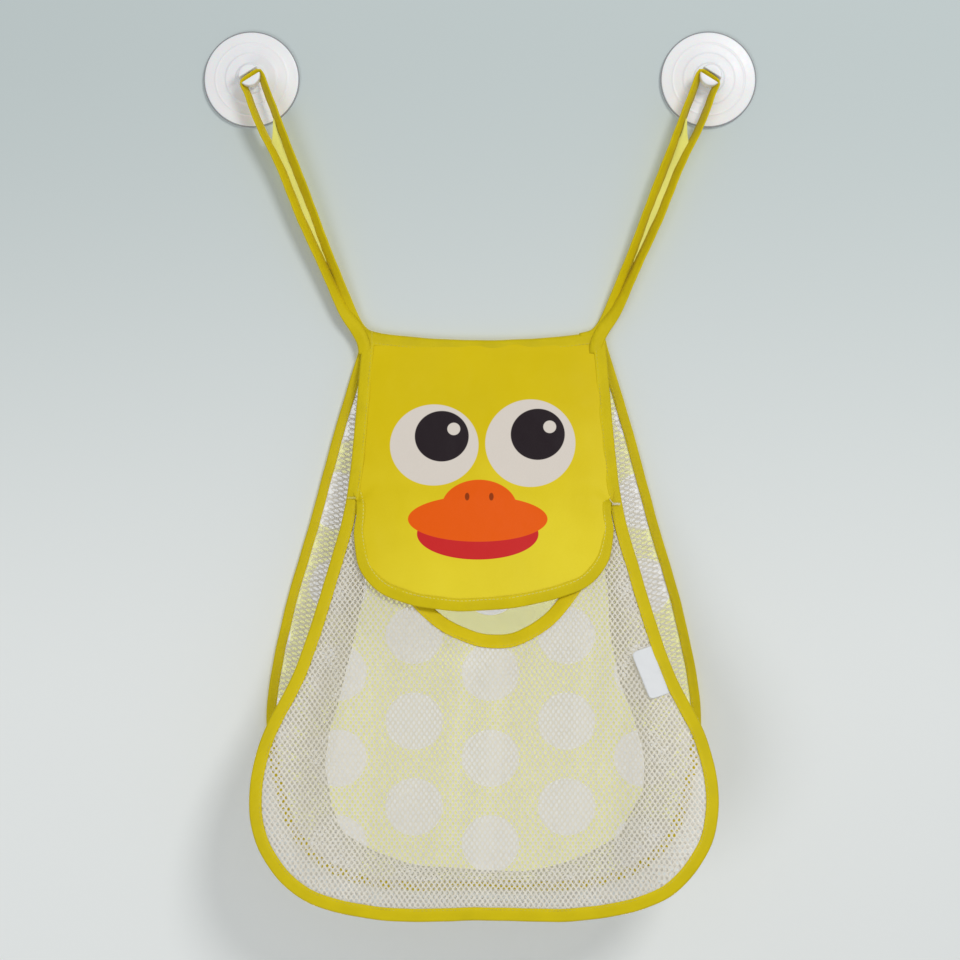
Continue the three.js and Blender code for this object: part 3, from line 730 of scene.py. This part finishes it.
def dotted_material():
    """Pale cloth with staggered white dots."""
    recipe = Recipe("dotted_cloth", pale_colour, 0.6, 0.3, 0.2)
    recipe.subsurface(1, 4 * MM)
    u, v = recipe.cloth()
    column_pitch, dot_pitch, stagger, radius = 51.5 * MM, 58 * MM, 33 * MM, 19.3 * MM
    middle_column, first_dot = 4.5 * MM, 231 * MM
    shifted = recipe.sum("SUBTRACT", u, middle_column)
    column = recipe.sum("ROUND", recipe.sum("DIVIDE", shifted, column_pitch))
    odd = recipe.sum("PINGPONG", column, 1)
    x = recipe.sum("SUBTRACT", shifted, recipe.sum("MULTIPLY", column, column_pitch))
    low = recipe.sum("SUBTRACT", recipe.sum("SUBTRACT", v, first_dot), recipe.sum("MULTIPLY", odd, stagger))
    y = recipe.sum("WRAP", low, dot_pitch / 2, -dot_pitch / 2)
    dots = recipe.inside(recipe.length(x, y), radius)
    recipe.set("Base Color", recipe.shade(recipe.mix(dots, pale_colour, dot_colour), 0.94, 1.04, 40 * MM))
    recipe.rough(10 * MM, 3, 0.15, 0.5)
    return recipe.bump((recipe.noise(30 * MM, 2), 1.5 * MM), (weave(recipe), 0.03 * MM))


def mesh_material():
    """Glossy white knitted yarn with fine filaments, which passes light on between its layers."""
    recipe = Recipe("white_knit", mesh_colour, 0.35, 0.5, 0.1)
    recipe.subsurface(0.5, 4 * MM)
    recipe.set("Base Color", recipe.shade(mesh_colour, 0.93, 1.05, 2 * MM))
    recipe.rough(1.2 * MM, 2, 0.3, 0.22)
    return recipe.bump((recipe.noise(0.35 * MM, 2, stretch=(1, 1, 0.3)), 0.12 * MM))


def vinyl_material(name, tint):
    """Moulded white vinyl: glossy, faintly uneven, with fine scuffs in its roughness."""
    recipe = Recipe(name, tint, 0.35, 0.4, 0, 0.04)
    recipe.subsurface(0.1, 3 * MM, (1, 0.2, 0.1))
    recipe.set("Base Color", recipe.shade(tint, 0.97, 1.02, 15 * MM))
    recipe.rough(3 * MM, 4, 0.2, 0.3)
    return recipe.bump((recipe.noise(12 * MM, 2), 0.25 * MM), (recipe.noise(0.5 * MM, 2), 0.01 * MM))


def satin_material():
    """White satin: a fine twill with soft gloss."""
    recipe = Recipe("white_satin", label_colour, 0.35, 0.5, 0.3)
    u, v = recipe.cloth()
    twill = recipe.wave(recipe.sum("ADD", u, recipe.sum("MULTIPLY", v, 2)), 0.45 * MM)
    recipe.set("Base Color", recipe.shade(label_colour, 0.95, 1.03, 8 * MM))
    recipe.rough(4 * MM, 2, 0.15, 0.28)
    return recipe.bump((recipe.noise(6 * MM, 2), 0.3 * MM), (twill, 0.02 * MM))


def thread_material(name, colour):
    """Spun thread: a fine twist along it."""
    recipe = Recipe(name, colour, 0.6, 0.3, 0.3)
    recipe.set("Base Color", recipe.shade(colour, 0.85, 1.12, 1.5 * MM))
    recipe.rough(1 * MM, 2, 0.2, 0.5)
    return recipe.bump((recipe.noise(0.25 * MM, 2), 0.1 * MM))


tape_cloth = tape_material("yellow_tape", yellow_tape_colour)
# A paler copy of the tape for the inside of the loops' open fold: painted light where that inside is lit.
lit_tape_cloth = tape_material("yellow_tape_inside_painted_light", (0.84, 0.81, 0.2))
neck_cloth = tape_material("yellow_neck_tape", (0.7, 0.54, 0.003))
face_cloth = face_material()
dotted_cloth = dotted_material()
knit_cloth = mesh_material()
vinyl = vinyl_material("white_vinyl", vinyl_colour)
# Dark grey copy of the vinyl for the cups' rims: painted shade along the cup's edge.
rim_vinyl = vinyl_material("rim_vinyl_painted_shade", (0.3, 0.31, 0.32))
satin = satin_material()
yellow_thread = thread_material("yellow_thread", (0.66, 0.55, 0.03))
bright_thread = thread_material("bright_yellow_thread", (0.78, 0.71, 0.16))
pale_thread = thread_material("pale_thread", (0.78, 0.75, 0.62))


def dress(piece, body, slot, *nodes):
    """Rides a piece on its body and hides the solids it stands for; the finish's name, slot, is not used."""
    if body:
        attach(piece, body)
    if nodes:
        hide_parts(*nodes)
    return piece


# Back panel


def inset_edge(trace):
    """A panel's cut edge: an outline moved inwards, closed along the top below the top tape's fold."""
    points, normals = trace
    edge = points - normals * tape_inset
    edge = edge[edge[:, 1] > top_cut]
    top_x = np.linspace(edge[-1, 0], edge[0, 0], 34)
    top = np.column_stack([top_x, top_dip(top_x) + top_cut])
    return np.vstack([edge[::2], top])


def back_layer(across, drop):
    """The back cloth lies on the wall, with faint ripples where nothing holds it."""
    inside = smooth_step((half_at(back_outline, drop) - np.abs(across)) / (25 * MM))
    inside = inside * smooth_step((drop - 20 * MM) / (40 * MM)) * smooth_step((back_length - drop) / (40 * MM))
    ripple = np.sin(across / (26 * MM) + 1) * np.sin(drop / (37 * MM))
    ripple = ripple + 0.6 * np.sin(across / (14 * MM) - drop / (60 * MM))
    return -side_layer + inside * (0.7 + 0.55 * ripple) * MM


back_edge = inset_edge(back_outline)
back_panel = panel("back_panel_cloth", back_edge, 3.2 * MM, hang_back, back_layer, dotted_cloth)
dress(back_panel, "bag", "dotted_cloth", "back_panel")


# Face cloth: the part sewn in, and the flap below the tacks


def face_layer(across, drop):
    """Off the front plane: on the seam at the sides, lifted to the flap below the fold, slightly padded out."""
    from_side = half_at(front_outline, np.minimum(drop, fold_drop)) - np.abs(across)
    side = smooth_step(from_side / (22 * MM))
    tuck = flap_rise - (flap_rise - 4 * MM) * (1 - smooth_step((from_side - 6 * MM) / (14 * MM)))
    rise = smooth_step((drop - fold_drop + tuck) / tuck)
    middle = smooth_step((drop - 6 * MM) / (30 * MM))
    swell = 0.9 * np.sin(across / (31 * MM) + 0.4) * np.sin(drop / (44 * MM))
    swell = swell + 0.5 * np.sin(across / (17 * MM) - drop / (33 * MM))
    curl = 2.2 * smooth_step((drop - fold_drop - 30 * MM) / (45 * MM)) * np.sin(across / (38 * MM) + 1.3)
    proud = side * middle * (1.5 + 1.4 * swell) + curl * rise
    return side_layer + rise * (flap_layer - side_layer) + proud * MM


def hanging_askew(trace):
    """The flap's outline as it hangs: its right side a little higher than its left."""
    points = trace[0]
    right = smooth_step((points[:, 0] + 20 * MM) / (80 * MM))
    below = smooth_step((points[:, 1] - fold_drop) / (40 * MM))
    points[:, 1] -= 4.5 * MM * (right * below)
    return trace_of(points)


flap_trace = hanging_askew(outline(flap_shares, flap_half, flap_length, fold_drop))


def face_cut():
    """The face cloth's cut edge, down the sides to the fold, then round the flap."""
    points, normals = front_outline
    half = len(points) // 2
    left = (points - normals * tape_inset)[:half]
    left = left[(left[:, 1] > 4 * MM) & (left[:, 1] < fold_drop - 1 * MM)][::3]
    flap, flap_normals = flap_trace
    hem = (flap - flap_normals * 1.2 * MM)[flap[:, 1] > fold_drop + 1 * MM][::2]
    right = np.column_stack([-left[::-1, 0], left[::-1, 1]])
    top_x = np.linspace(right[-1, 0], left[0, 0], 30)[1:-1]
    top = np.column_stack([top_x, top_dip(top_x) + top_cut])
    return np.vstack([left, hem, right, top])


face_edge = face_cut()
face = panel("face_cloth_panel", face_edge, 2.6 * MM, hang_front, face_layer, face_cloth)
dress(face, None, "face_cloth", "face_panel", "face_flap")
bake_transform(face)


# Front mesh with its scooped neckline


def shifted_right(trace):
    """The neckline's outline with its lowest point hanging to the right."""
    points = trace[0]
    points[:, 0] += neck_shift * (points[:, 1] - neck_start) / (neck_drop - neck_start)
    return trace_of(points)


neck_trace = shifted_right(outline(neck_shares, neck_half, neck_drop - neck_start, neck_start))


def neckline_at(across):
    """Drop of the neckline's cut edge."""
    points = neck_trace[0]
    beside = neck_start - 2 * MM
    return np.interp(across, points[:, 0], points[:, 1], left=beside, right=beside)


def in_front(u, v):
    sides = np.abs(u) < half_at(front_outline, v) - 1.6 * MM
    low = v < front_length - 3 * MM
    return sides & low & (v > neckline_at(u) + 1.2 * MM) & (v > neck_start - 4 * MM)


net_bounds = ((-front_half, neck_start - 6 * MM), (front_half, front_length))


def hang_net(u, v, off):
    return hang_front(u, v, off + side_layer)


front_net, front_net_area = knit("front_mesh_net", in_front, net_bounds, hang_net, knit_cloth)
dress(front_net, "bag", "mesh", "front_mesh_panel")


# Gusset: a strip of the same mesh folded inwards at its sides


def gusset_grid():
    """Points of the gusset's folded surface: along the outline, then from back to front."""
    front, front_normals = front_outline
    back, back_normals = back_outline
    front_line = hang_front(*(front - front_normals * gusset_insets[0]).T, -side_layer)
    back_line = hang_back(*(back - back_normals * gusset_insets[1]).T, side_layer)
    front_line = curve_through(front_line, gusset_steps)
    back_line = curve_through(back_line, gusset_steps)
    share = np.linspace(0, 1, gusset_steps + 1)
    from_end = np.minimum(share, 1 - share) * 2
    low = smooth_step((from_end - floor_from) / (1 - floor_from))
    fold = top_fold + (side_fold - top_fold) * np.minimum(np.sin(math.pi * share) / 0.67, 1) * (1 - low)
    fold = fold + (floor_fold - top_fold) * low
    middle = (front_line + back_line) / 2
    tangents = np.gradient(middle, axis=0)
    inward = unit(np.column_stack([-tangents[:, 2], np.zeros(len(middle)), tangents[:, 0]]))
    to_middle = np.array([bag_shift, 0, -0.36]) - middle
    inward *= np.sign(np.sum(to_middle[:, [0, 2]] * inward[:, [0, 2]], axis=1))[:, None]
    rows = []
    for v in np.linspace(0, 1, gusset_rows + 1):
        bow = math.sin(math.pi * v)
        wrinkle = 1.2 * np.sin(share * 41 + 2.2 * v) + 0.6 * np.sin(share * 83 - 3 * v)
        wrinkle = wrinkle + 0.25 * np.sin(share * 171 + v * 5)
        reach = fold * bow**0.9 + wrinkle * MM * bow * np.minimum(fold / floor_fold, 1)
        rows.append(back_line * (1 - v) + front_line * v + inward * reach[:, None])
    return np.array(rows)


gusset_points = gusset_grid()
gusset_width = np.linalg.norm(np.diff(gusset_points, axis=0), axis=2).sum(axis=0)
along_step = np.linalg.norm(np.diff(gusset_points, axis=1), axis=2).mean(axis=0)
gusset_along = np.concatenate([[0], np.cumsum(along_step)])
gusset_length = gusset_along[-1]


def hang_gusset(u, v, off):
    """Places flat strip points (along, across from its middle) on the folded surface."""
    column = np.interp(u, gusset_along, np.arange(gusset_steps + 1))
    width = np.interp(u, gusset_along, gusset_width)
    row = np.clip(v / width + 0.5, 0, 1) * gusset_rows
    i = np.clip(column.astype(int), 0, gusset_steps - 1)
    j = np.clip(row.astype(int), 0, gusset_rows - 1)
    a, b = (column - i)[:, None], (row - j)[:, None]
    corner = gusset_points[j, i]
    east = gusset_points[j, i + 1]
    north = gusset_points[j + 1, i]
    far = gusset_points[j + 1, i + 1]
    point = corner * (1 - a) * (1 - b) + east * a * (1 - b) + north * (1 - a) * b + far * a * b
    normal = np.cross((east - corner) + (far - north), (north - corner) + (far - east))
    length = np.linalg.norm(normal, axis=1, keepdims=True)
    return point + normal / np.maximum(length, 1e-12) * off[:, None]


def in_gusset(u, v):
    width = np.interp(u, gusset_along, gusset_width)
    return (np.abs(v) < width / 2 - 1.2 * MM) & (u > gusset_end) & (u < gusset_length - gusset_end)


widest = gusset_width.max()
gusset_bounds = ((0, -widest / 2), (gusset_length, widest / 2))
gusset_net, gusset_net_area = knit(
    "gusset_mesh_net", in_gusset, gusset_bounds, hang_gusset, knit_cloth, gusset_spread
)
dress(gusset_net, "bag", "mesh", "gusset_mesh")


# Bindings

top_across = np.linspace(-81.6 * MM, 82 * MM, 130)
top_points = np.column_stack([top_across, top_dip(top_across)])
top_trace = (top_points, np.broadcast_to((0.0, -1.0), top_points.shape))


def hang_top(across, drop, off):
    return np.stack([across + bag_shift, -top_plane - off + 0 * across, bag_top - drop], axis=-1)


for name, trace, size, place, node in (
    ("top_tape", top_trace, top_tape, hang_top, "top_binding"),
    ("front_tape", front_outline, front_tape, hang_front, "front_binding"),
    ("back_tape", back_outline, back_tape, hang_back, "back_binding"),
):
    dress(tape(name, trace, size, 0, place, tape_cloth), "bag", "yellow_tape", node)


flap_below = flap_trace[0][:, 1] - fold_drop
flap_layers = face_layer(*flap_trace[0].T) - 0.9 * MM * smooth_step(-flap_below / (10 * MM))
flap_narrowing = 0.68 + 0.32 * smooth_step(flap_below / (45 * MM))
flap_binding = tape("flap_tape", flap_trace, flap_tape, flap_layers, hang_front, tape_cloth, flap_narrowing)
dress(flap_binding, None, "yellow_tape", "flap_binding")
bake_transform(flap_binding)

neck_fold = (neck_trace[0], -neck_trace[1])
neck_binding = tape("neckline_tape", neck_fold, neck_tape, side_layer, hang_front, neck_cloth)
dress(neck_binding, "bag", "yellow_tape", "neckline_binding")


def seam(name, trace, thickness, layer, place, inset, body="bag", sides=(1, -1), thread=yellow_thread):
    """A row of stitches along a tape of that thickness, on its front and its back."""
    points, normals = trace
    line = (points - normals * np.reshape(inset, (-1, 1)))[2:-2]
    layers = np.broadcast_to(layer, len(points))[2:-2]
    rows = []
    for side in sides:
        off = side * (thickness / 2 + 0.05 * MM)
        above = place(line[:, 0], line[:, 1], layers + off)
        higher = place(line[:, 0], line[:, 1], layers + off + side * MM)
        rows += stitch_row(above, (higher - above) / MM)
    return dress(stitches(name, rows, thread), body, "yellow_thread")


seam("top_seam", top_trace, top_tape[1] + 0.1 * MM, 0, hang_top, 7.3 * MM)
seam("front_seam", front_outline, front_tape[1], 0, hang_front, 6.8 * MM)
seam("back_seam", back_outline, back_tape[1], 0, hang_back, 5.3 * MM, sides=(1,))
flap_inset = 6.8 * MM * flap_narrowing
flap_seam = seam(
    "flap_seam", flap_trace, flap_tape[1], flap_layers, hang_front, flap_inset, None, thread=bright_thread
)
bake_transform(flap_seam)
seam("neckline_seam", neck_fold, neck_tape[1], side_layer, hang_front, 7.6 * MM)


# Suction cups


def lathe(name, profile, centre, material, segments=144):
    """A turned piece from a profile in millimetres, its axis square to the wall."""
    rings = []
    points = []
    turns = np.linspace(0, 2 * math.pi, segments, endpoint=False)
    for r, h in np.array(profile) * MM:
        if r == 0:
            rings.append([len(points)])
            points.append((centre, -h, 0))
            continue
        rings.append(list(range(len(points), len(points) + segments)))
        points.extend((centre + r * math.cos(t), -h, r * math.sin(t)) for t in turns)
    faces = []
    for low, high in zip(rings, rings[1:] + rings[:1]):
        for i in range(segments):
            j = (i + 1) % segments
            if len(low) == 1 and len(high) > 1:
                faces.append((low[0], high[i], high[j]))
            elif len(high) == 1 and len(low) > 1:
                faces.append((low[i], high[0], low[j]))
            elif len(low) > 1:
                faces.append((low[i], low[j], high[j], high[i]))
    return link(name, outward(mesh_from(name, points, faces)), material)


def rounded(corners, radius, steps=5):
    """Rounds the inner corners of a profile."""
    corners = [np.array(c, float) for c in corners]
    out = [tuple(corners[0])]
    for before, corner, after in zip(corners, corners[1:], corners[2:]):
        back = before - corner
        on = after - corner
        cut = min(radius, np.linalg.norm(back) * 0.45, np.linalg.norm(on) * 0.45)
        start = corner + unit(back) * cut
        end = corner + unit(on) * cut
        for t in np.linspace(0, 1, steps):
            out.append(tuple(start * (1 - t) ** 2 + corner * 2 * t * (1 - t) + end * t * t))
    out.append(tuple(corners[-1]))
    return out


cup_profile = rounded(cup_corners, 1)
rim_profile = rounded(rim_corners, 0.3)[:-1]
knob_profile = rounded(knob_corners, 1.6, 7)

def cut_slot(knob, centre, side):
    """Cuts the tape's slot across a knob, open at its face and rising towards the bag."""
    mesh = bpy.data.meshes.new("slot")
    work = bmesh.new()
    bmesh.ops.create_cube(work, size=1)
    bmesh.ops.scale(work, vec=(0.03, 0.02, slot_width), verts=work.verts)
    edges = [e for e in work.edges if abs(e.verts[0].co.x - e.verts[1].co.x) > 0.01]
    bmesh.ops.bevel(work, geom=edges, offset=0.7 * MM, segments=4, affect="EDGES", profile=0.5)
    turn = Matrix.Rotation(slot_turn * side, 4, "Y")
    bmesh.ops.transform(work, matrix=Matrix.Translation((centre, -19 * MM, 0)) @ turn, verts=work.verts)
    work.to_mesh(mesh)
    work.free()
    cutter = bpy.data.objects.new("slot", mesh)
    bpy.context.scene.collection.objects.link(cutter)
    cut = knob.modifiers.new("slot", "BOOLEAN")
    cut.operation = "DIFFERENCE"
    cut.solver = "EXACT"
    cut.object = cutter
    soft = knob.modifiers.new("soft", "BEVEL")
    soft.width = 0.35 * MM
    soft.segments = 3
    soft.limit_method = "ANGLE"
    soft.angle_limit = math.radians(50)
    bake_modifiers(knob)
    bpy.data.objects.remove(cutter)


for side, word in both_sides:
    centre = side * cup_x
    cup = lathe(f"{word}_cup", cup_profile, centre, vinyl)
    dress(cup, "wall_cups", "vinyl", f"{word}_suction_cup")
    # The rim is dark grey: painted shade along the cup's edge.
    dress(lathe(f"{word}_cup_rim", rim_profile, centre, rim_vinyl), "wall_cups", "vinyl")
    knob = lathe(f"{word}_cup_knob", knob_profile, centre, vinyl, 96)
    cut_slot(knob, centre, side)
    dress(knob, "wall_cups", "vinyl")


# Hanging loops


def strap_rings(rows, side, fold=1, steps_each=9):
    """Rings of a folded tape along rows of (x, z, depth, turn, width, thickness), with their cloth coordinates."""
    line = curve_through([(x, -d, z, a, w, t) for x, z, d, a, w, t in rows], steps_each * (len(rows) - 1))
    way = along_of(line[:, :3])
    rings = []
    uv = []
    reach = reach_along(line[:, :3])
    for i, (x, y, z, turn, width, thick) in enumerate(line):
        outwards = unit(np.cross(way[i], (0, 1, 0)))
        front = np.cross(way[i], outwards)
        front *= -np.sign(front[1])
        turned = math.radians(turn)
        across = fold * outwards * math.sin(turned) + front * math.cos(turned)
        up = np.cross(across, way[i])
        section = fold_section(width, thick, min(0.42, thick * 0.3))
        ripple = 0.08 * math.sin(reach[i] / 3.1) + 0.05 * math.sin(reach[i] / 1.7)
        centre = np.array([x, y, z])
        ring = centre + (section[:, :1] - width / 2) * across + (section[:, 1:] + ripple) * up
        ring = ring * MM
        ring[:, 0] *= -side
        rings.append(ring)
        uv.append(np.column_stack([np.full(len(section), reach[i]), section[:, 0]]) * MM)
    return rings, uv


for side, word in both_sides:
    rings, uv = strap_rings(outer_leg + bight + inner_leg, side)
    heights = [ring[:, 2].mean() for ring in rings]
    high = [i for i, height in enumerate(heights) if height > loop_split * MM]
    first, last = high[0], high[-1]
    top = tube(f"{word}_loop_tape_top", rings[first : last + 1], uv[first : last + 1], tape_cloth, (False, False))
    open_rings, open_uv = strap_rings(open_fold, side, -1)
    inside = tube(f"{word}_loop_open_fold", open_rings, open_uv, lit_tape_cloth)
    for piece in (top, inside):
        dress(piece, None, "yellow_tape", f"{word}_hanging_loop", f"{word}_loop_bight")
        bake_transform(piece)
    outer = tube(f"{word}_loop_tape_outer", rings[: first + 1], uv[: first + 1], tape_cloth, (True, False))
    inner = tube(f"{word}_loop_tape_inner", rings[last:], uv[last:], tape_cloth, (False, True))
    for piece in (outer, inner):
        dress(piece, None, "yellow_tape", f"{word}_hanging_loop")
        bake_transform(piece)


# Sewn label


def label_sheet():
    """A small satin label, sewn along its right edge under the front tape, its free side lifted off the mesh."""
    low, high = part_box("blank_label")
    width, length, turn = 12.2 * MM, 33 * MM, math.radians(20.5)
    start_across = low[0] - bag_shift
    start_drop = straight_drop + (bag_top - straight_drop - high[2]) / math.cos(lean) + width * math.sin(turn)
    rows, columns = 40, 14
    corner_radius, tucked = 3 * MM, 1.5 * MM
    v, share = np.meshgrid(np.linspace(0, length, rows + 1), np.linspace(0, 1, columns + 1), indexing="ij")
    from_end = np.minimum(np.minimum(v, length - v) / corner_radius, 1)
    cut = corner_radius * (1 - np.sqrt(np.maximum(1 - (1 - from_end) ** 2, 0)))
    u = cut + (width + tucked - cut) * share
    free = np.maximum(1 - u / width, 0)
    off = (1.25 + 1.7 * free**1.5 + 0.25 * np.sin(v / (5 * MM)) * free) * MM
    u, v, off = u.ravel(), v.ravel(), off.ravel()
    across = start_across + u * math.cos(turn) + v * math.sin(turn)
    drop = start_drop - u * math.sin(turn) + v * math.cos(turn)
    faces = []
    for i in range(rows):
        for j in range(columns):
            a = i * (columns + 1) + j
            faces.append((a, a + 1, a + columns + 2, a + columns + 1))
    mesh = mesh_from("bare_label", hang_front(across, drop, off), faces, np.column_stack([u, v]))
    return thicken(link("bare_label", mesh, satin), 0.35 * MM)


label = dress(label_sheet(), "bag", "label_cloth", "blank_label")


# Bartacks: close zigzags of thread


def bar(points, up, radius):
    """Rings of one rounded stitch through three points."""
    line = curve_through(points, 5)
    sizes = (0.5, 0.9, 1, 1, 0.9, 0.5)
    return [thread_ring(point, way, up, radius * size) for point, way, size in zip(line, along_of(line), sizes)]


def bartack(name, centre, along, up, size, node, material, tail=None):
    """A close zigzag of thread, size[0] along one way and size[1] across it, with a loose end where one is given."""
    centre, along, up = (np.array(value, float) for value in (centre, along, up))
    across = np.cross(up, along)
    pitch, radius = 0.45 * MM, 0.16 * MM
    count = int(size[0] / pitch)
    rows = []
    for i in range(count):
        at = centre + along * (i + 0.5 - count / 2) * pitch
        tilt = along * pitch * 0.45 * (1 if i % 2 else -1)
        reach = across * size[1] / 2
        ends = [at - reach - tilt - up * radius, at + up * radius * 0.5, at + reach + tilt - up * radius]
        rows.append(bar(ends, up, radius))
    if tail:
        rows.append(bar(tail, up, radius * 1.2))
    return dress(stitches(name, rows, material), "bag", "yellow_thread", node)


plane_up = (0, -math.cos(lean), math.sin(lean))


def box_centre(node):
    low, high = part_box(node)
    return tuple((a + b) / 2 for a, b in zip(low, high))


for _, word in both_sides:
    node = f"{word}_corner_bartack"
    x, y, z = box_centre(node)
    centre, size = (x, -5.5 * MM, z), (7.6 * MM, 1.8 * MM)
    bartack(f"{word}_corner_thread", centre, (0, 0, 1), (0, -1, 0), size, node, yellow_thread)

x, y, z = box_centre("left_flap_tack")
centre, size = (x, y - 0.3 * MM, z), (5.4 * MM, 1.6 * MM)
bartack("left_flap_thread", centre, (-1, 0, 0), plane_up, size, "left_flap_tack", bright_thread)
x, y, z = box_centre("right_flap_tack")
centre, size = np.array((x, y - 1.6 * MM, z - 4 * MM)), (5.4 * MM, 1.8 * MM)
loose = [centre + np.array(step) * MM for step in ((-1.5, -0.3, 0.2), (-3.2, -0.7, 1.4), (-4.4, -0.5, 3.4))]
bartack("right_flap_thread", centre, (1, 0, 0), plane_up, size, "right_flap_tack", pale_thread, loose)


# Stage and light


def stage_material(name, low, high, ends):
    """A pale matt surface, shaded from low to high over its heights; seen from behind it is not there."""
    nodes = Nodes(name)
    nodes.tree.nodes.clear()
    place = nodes.add("NewGeometry").outputs
    rays = nodes.add("LightPath").outputs
    parts = nodes.add("SeparateXYZ")
    nodes.give(parts.inputs[0], place["Position"])
    matt = nodes.add("BsdfDiffuse")
    nodes.give(matt.inputs["Color"], nodes.mix(nodes.ramp(parts.outputs[2], *ends), low, high))
    through = nodes.sum("MAXIMUM", rays["Is Glossy Ray"], rays["Is Transmission Ray"])
    seen = nodes.sum("MAXIMUM", rays["Is Camera Ray"], through)
    front = nodes.sum("SUBTRACT", 1, place["Backfacing"])
    shown = nodes.add("MixShader")
    nodes.give(shown.inputs[0], nodes.sum("MULTIPLY", seen, front))
    nodes.give(shown.inputs[1], nodes.add("BsdfTransparent").outputs[0])
    nodes.give(shown.inputs[2], matt.outputs[0])
    nodes.give(nodes.add("OutputMaterial").inputs["Surface"], shown.outputs[0])
    return nodes.material


def stage_plane(name, corners, material):
    plane = link(name, mesh_from(name, corners, [(0, 1, 2, 3)]), material, smooth=False)


stage_half, stage_front, wall_y = 2, -2.6, 1.2 * MM
floor_z, wall_top = -0.85, 1.6
floor_colour = (0.72, 0.73, 0.72)
wall_material = stage_material("pale_wall", (0.82, 0.84, 0.82), (0.56, 0.62, 0.61), (-0.45, 0.05))
floor_material = stage_material("pale_floor", floor_colour, floor_colour, (-1, 0))
foot = [(-stage_half, wall_y, floor_z), (stage_half, wall_y, floor_z)]
stage_plane("wall", [*foot, (stage_half, wall_y, wall_top), (-stage_half, wall_y, wall_top)], wall_material)
near = [(-stage_half, stage_front, floor_z), (stage_half, stage_front, floor_z)]
stage_plane("floor", [*near, *foot[::-1]], floor_material)


def area_lamp(name, place, aim, size, watts, glossy=True):
    data = bpy.data.lights.new(name, "AREA")
    data.shape = "DISK"
    data.size = size
    data.energy = watts
    lamp = bpy.data.objects.new(name, data)
    lamp.visible_glossy = glossy
    lamp.location = place
    lamp.rotation_euler = (Vector(aim) - Vector(place)).to_track_quat("-Z", "Y").to_euler()
    bpy.context.scene.collection.objects.link(lamp)


area_lamp("key", (0.95, -1.9, 0.85), (0, 0, -0.25), 0.75, 23)
area_lamp("fill", (-0.7, -1.5, -1), (0, -0.03, -0.4), 1, 7)
area_lamp("back", (0.5, 1.7, 0.5), (0, 0, -0.3), 0.9, 22, glossy=False)

world = bpy.data.worlds.new("world")
bpy.context.scene.world = world
world.use_nodes = True
sky = world.node_tree.nodes["Background"].inputs
sky["Color"].default_value = (0.93, 0.96, 1, 1)
sky["Strength"].default_value = 0.45
bpy.context.scene.view_settings.view_transform = "Standard"
